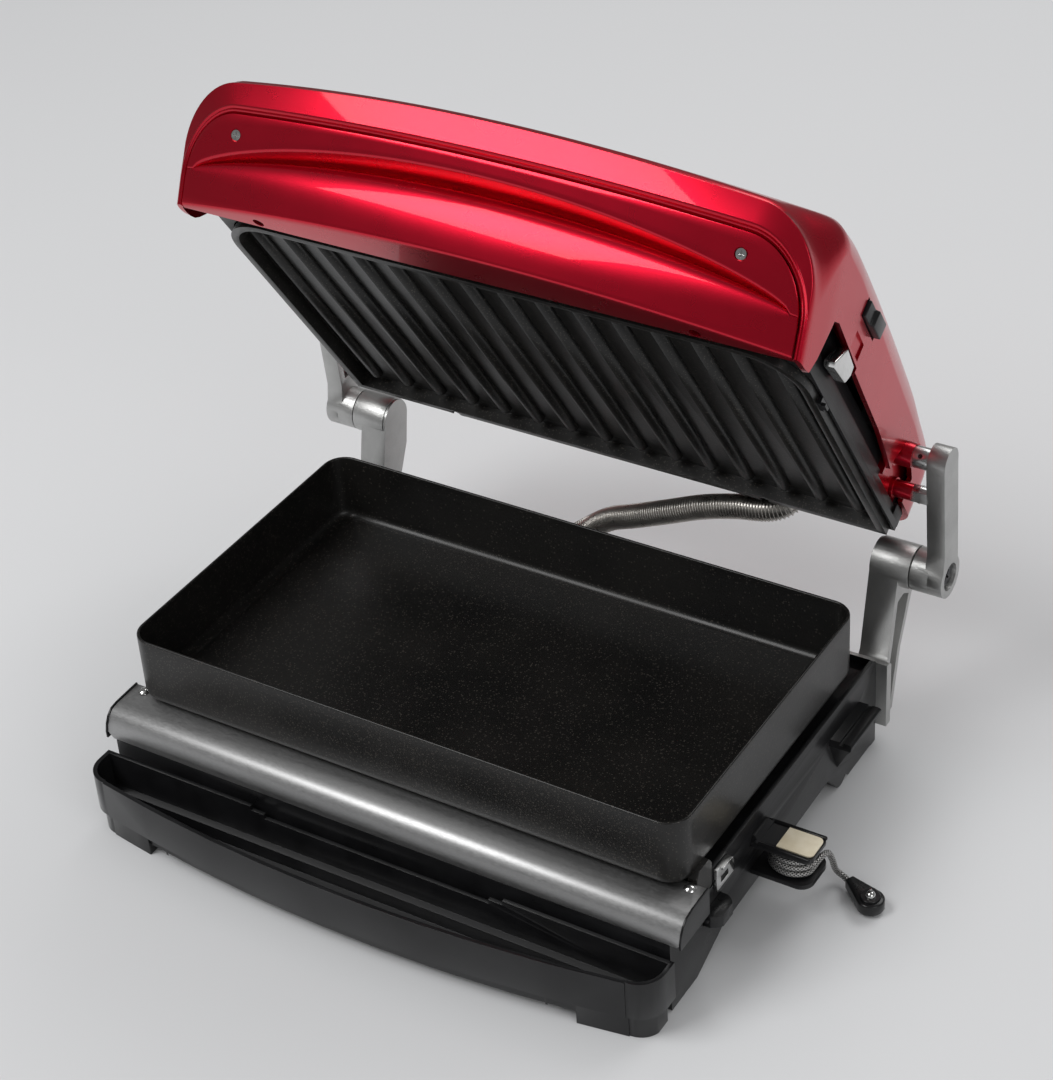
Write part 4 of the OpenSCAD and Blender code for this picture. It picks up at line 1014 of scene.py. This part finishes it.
# Upper latch, as s and h between two x, and its two-step button, as x and s between two h
latch = {
    "outline": [(147.4, 14.0), (144.8, 19.0), (145.6, 23.8), (159.8, 25.4), (167.6, 14.6), (165.4, 12.4)],
    "from": 163.4, "to": 169.4, "rounding": (0.7, 4),
}
button = {
    "outline": [(162.6, 136.6), (172.3, 136.6), (172.3, 149.6), (170.4, 150.4), (170.4, 159), (162.6, 159)],
    "from": 43.3, "to": 51.7, "rounding": (0.6, 3),
}


def roundedPrism(name, mesh, rounded, look, body, node):
    mesh.name = name
    with editing(mesh) as work:
        roundEdges(work, list(work.edges), *rounded)
    smoothed(mesh, 50)
    addPiece(name, mesh, look, body, [node])


def makeLatch():
    mesh = lidPrism(latch["from"], latch["to"], latch["outline"])
    roundedPrism("upperLatchPiece", mesh, latch["rounding"], "polished", "upper_latch", "upper_latch")


def makeButton():
    name, levels, rounded = "upperReleaseButtonPiece", (button["from"], button["to"]), button["rounding"]
    mesh = prismMesh(*([lidPoint(x, s, h) for x, s in button["outline"]] for h in levels))
    roundedPrism(name, mesh, rounded, "button", "upper_button", "upper_release_button")


makeLatch()
makeButton()


# Deep pan: rings of a rounded rectangle from the floor up the outside, over the rim and down inside
panSizes = {
    "half": 159.0, "front": 17.5, "rear": 205.5, "bottom": 58.0, "rim": 98.3, "corner": 12.5, "edge": 7.0,
    "wall": 1.8, "lip": 0.85, "straight": 6, "steps": 8, "cornerSteps": 12,
}
# Lug on each side, as y and z between two x
panLug = {
    "outline": [(30, 64), (39.5, 64), (42, 60), (42, 47.5), (40.5, 46), (29.3, 46), (27.8, 47.5), (27.8, 60)],
    "from": 156.9, "to": 161.8, "rounding": (0.6, 3),
}


def roundedLoop(half, front, rear, corner, z):
    loop, steps = [], panSizes["cornerSteps"]
    for cx, cy, start in ((half - corner, front + corner, -90), (half - corner, rear - corner, 0),
                          (-half + corner, rear - corner, 90), (-half + corner, front + corner, 180)):
        for i in range(steps + 1):
            a = radians(start + 90 * i / steps)
            loop.append((cx + corner * cos(a), cy + corner * sin(a), z))
    return loop


# Inset and height of each ring
def panProfile():
    size, steps = panSizes, panSizes["steps"]
    edge, wall, lip, bottom, rim = (size[key] for key in ("edge", "wall", "lip", "bottom", "rim"))
    inner, straight = edge - wall, rim - size["straight"]
    quarter = [pi / 2 * i / steps for i in range(steps + 1)]
    half = [pi * i / steps for i in range(steps + 1)]
    profile = [(edge * (1 - sin(a)), bottom + edge * (1 - cos(a))) for a in quarter]
    profile.append((0.0, straight))
    profile += [(lip * (1 - cos(a)), rim - lip * (1 - sin(a))) for a in half]
    profile.append((wall, straight))
    return profile + [
        (wall + inner * (1 - cos(a)), bottom + wall + inner * (1 - sin(a))) for a in quarter
    ]


def addLug(work, side):
    outline = panLug["outline"]
    ends = [side * panLug["from"], side * panLug["to"]]
    near, far = ([work.verts.new(rowPoint(x, y, z)) for y, z in outline] for x in ends)
    bmesh.ops.recalc_face_normals(work, faces=bridged(work, near, far))
    rims = [e for e in far[0].link_faces[0].edges if e.verts[0] in far and e.verts[1] in far]
    roundEdges(work, rims, *panLug["rounding"])


def makePan():
    size, profile, points = panSizes, panProfile(), []
    for inset, z in profile:
        corner = max(0.5, size["corner"] - inset)
        points += roundedLoop(size["half"] - inset, size["front"] + inset, size["rear"] - inset, corner, z)
    columns = len(points) // len(profile)
    faces = bandFaces(len(profile), columns) + capFaces(len(profile), columns)
    mesh = meshOf("bakePan", [rowPoint(*point) for point in points], faces, 40.0)
    with editing(mesh) as work:
        for side in (-1, 1):
            addLug(work, side)
    addPiece("bakePan", mesh, "pan", "bake_pan", ["bake_pan"])


makePan()
print("pan ready")


# Nodes whose own shape is right, with rounded edges: look, body and rounding in millimetres
roundedNodes = {
    "base_housing": ("black", "base", 0.5),
    "front_trim": ("trim", "base", 0.25),
    "trim_end_caps": ("button", "base", 0.4),
    "hinge_arm_left": ("cast", "base", 0.8),
    "hinge_arm_right": ("cast", "base", 0.8),
    "lower_pivot_pins": ("satin", "base", 0.3),
    "pivot_screws": ("screw", "base", 0.3),
    "pivot_washers": ("polished", "base", 0.2),
    "lower_latch_clip": ("polished", "lower_latch", 0.2),
    "lower_release_button": ("button", "lower_button", 0.6),
    "probe_bracket": ("black", "base", 0.35),
    "bracket_pad": ("pad", "base", 0.3),
    "mains_gland": ("button", "base", 0.4),
    "conduit_gland_base": ("button", "base", 0.4),
    "conduit_gland_lid": ("button", "lid", 0.4),
    "drip_tray": ("tray", "drip_tray", 0.6),
    "link_left": ("cast", "links", 0.7),
    "link_right": ("cast", "links", 0.7),
    "link_collars": ("satin", "links", 0.35),
    "lid_hinge_bosses": ("red", "lid", 0.45),
    "upper_heater_frame": ("frame", "lid", 0.5),
    "upper_plate": ("plate", "upper_plate", 0.35),
    "tilt_foot": ("black", "tilt_foot", 0.4),
    "rubber_feet": ("rubber", "base", 0.3),
}
for node, (look, body, width) in roundedNodes.items():
    parts = node.split("_")
    name = parts[0] + "".join(part.title() for part in parts[1:]) + "Piece"
    softened(name, node, look, body, width)

# Rounded bars over the plate's ribs; those within wide of the middle run on into the front rim
plateRibs = {
    "count": 15, "pitch": 20.8, "radius": 3.57, "height": 7.2, "rear": 12.5, "front": 185.0, "outer": 181.0,
    "wide": 126, "sides": 28, "noseSteps": 8,
}


def addRibs(obj):
    ribs, radius, sides = plateRibs, plateRibs["radius"], plateRibs["sides"]
    angles = [2 * pi * k / sides for k in range(sides)]
    nose = [pi / 2 * k / ribs["noseSteps"] for k in range(1, ribs["noseSteps"] + 1)]
    with editing(obj.data) as work:
        for i in range(ribs["count"]):
            x = (i - (ribs["count"] - 1) / 2) * ribs["pitch"]
            profile = [(ribs["rear"] - radius * cos(a), radius * sin(a)) for a in nose]
            profile.append((ribs["front"] if abs(x) < ribs["wide"] else ribs["outer"], radius))
            rings = []
            for s, size in profile:
                ring = [(x + size * cos(a), s, ribs["height"] + size * sin(a)) for a in angles]
                rings.append([work.verts.new(lidPoint(*point)) for point in ring])
            made = [work.faces.new(rings[0]), work.faces.new(rings[-1])]
            for near, far in zip(rings, rings[1:]):
                for k in range(sides):
                    j = (k + 1) % sides
                    made.append(work.faces.new((near[k], near[j], far[j], far[k])))
            for face in made:
                face.smooth = True
            bmesh.ops.recalc_face_normals(work, faces=made)


addRibs(bpy.data.objects["upperPlatePiece"])
print("rounded pieces ready")

# Nodes that stay as they are, with a better finish
plainNodes = {
    "black": ["bottom_cover"], "satin": ["lid_pivot_pins"], "screw": ["set_screws"], "button": ["plate_hook"],
    "polished": ["trim_rivets", "arm_screws", "probe_tip", "panel_screws"],
    "reflector": [
        "lower_reflector", "element_clips", "lower_thermostat", "upper_reflector", "upper_thermostat",
    ],
    "element": ["lower_element", "upper_element"],
}
for look, nodes in plainNodes.items():
    for node in nodes:
        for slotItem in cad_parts[node].material_slots:
            slotItem.material = looks[look]
print("plain pieces ready")


# Studio: a pale floor, three soft lights with place, aim, size and power, and a white surround
studio = {"floor": (0.66, 0.665, 0.675), "floorHalf": 4.0, "shade": 0.985, "surround": 0.45, "mirrored": 0.15}
lights = {
    "keyLight": ((-0.9, -1.1, 1.9), (0, 0, 0.15), (1.2, 1.2), 28.0),
    "fillLight": ((1.7, -0.9, 1.1), (0, 0, 0.15), (1.2, 1.0), 7.0),
    "backLight": ((0.3, 1.5, 1.8), (0, 0, 0.2), (1.8, 0.9), 15.0),
}


def addLight(name, place, aim, size, power):
    data = bpy.data.lights.new(name, "AREA")
    data.shape = "RECTANGLE"
    data.size, data.size_y = size
    data.energy = power
    obj = linked(name, data)
    obj.location = place
    obj.rotation_euler = (Vector(aim) - Vector(place)).to_track_quat("-Z", "Y").to_euler()


def makeFloor():
    mesh = bpy.data.meshes.new("floor")
    with editing(mesh) as work:
        bmesh.ops.create_grid(work, x_segments=8, y_segments=8, size=studio["floorHalf"])
    floor = linked("floor", mesh)
    look = Finish("floorPaper", Roughness=0.6, Specular_IOR_Level=0.2)
    shaded = tuple(channel * studio["shade"] for channel in studio["floor"])
    look.colour(look.noise(3.0, 2.0), studio["floor"], shaded)
    look.relief(look.noise(400.0, 2.0), 0.00002, 0.2)
    mesh.materials.append(look.material)


def makeSurround():
    world = bpy.data.worlds.new("studio")
    bpy.context.scene.world = world
    world.use_nodes = True
    tree = world.node_tree
    tree.nodes.clear()
    rays = addNode(tree, "ShaderNodeLightPath")
    seen = rays.output("Is Camera Ray").larger(rays.output("Is Transmission Ray"))
    soft, white, dim = (
        rays.node("ShaderNodeBackground", {}, {"Color": (1, 1, 1, 1), "Strength": strength})
        for strength in (studio["surround"], 1.0, studio["mirrored"])
    )
    lit = rays.node("ShaderNodeMixShader", {}, {0: rays.output("Is Glossy Ray"), 1: soft, 2: dim})
    both = rays.node("ShaderNodeMixShader", {}, {0: seen, 1: lit, 2: white})
    rays.node("ShaderNodeOutputWorld", {}, {0: both})


makeFloor()
for name, settings in lights.items():
    addLight(name, *settings)
makeSurround()
bpy.context.scene.view_settings.view_transform = "Standard"
print("studio ready")
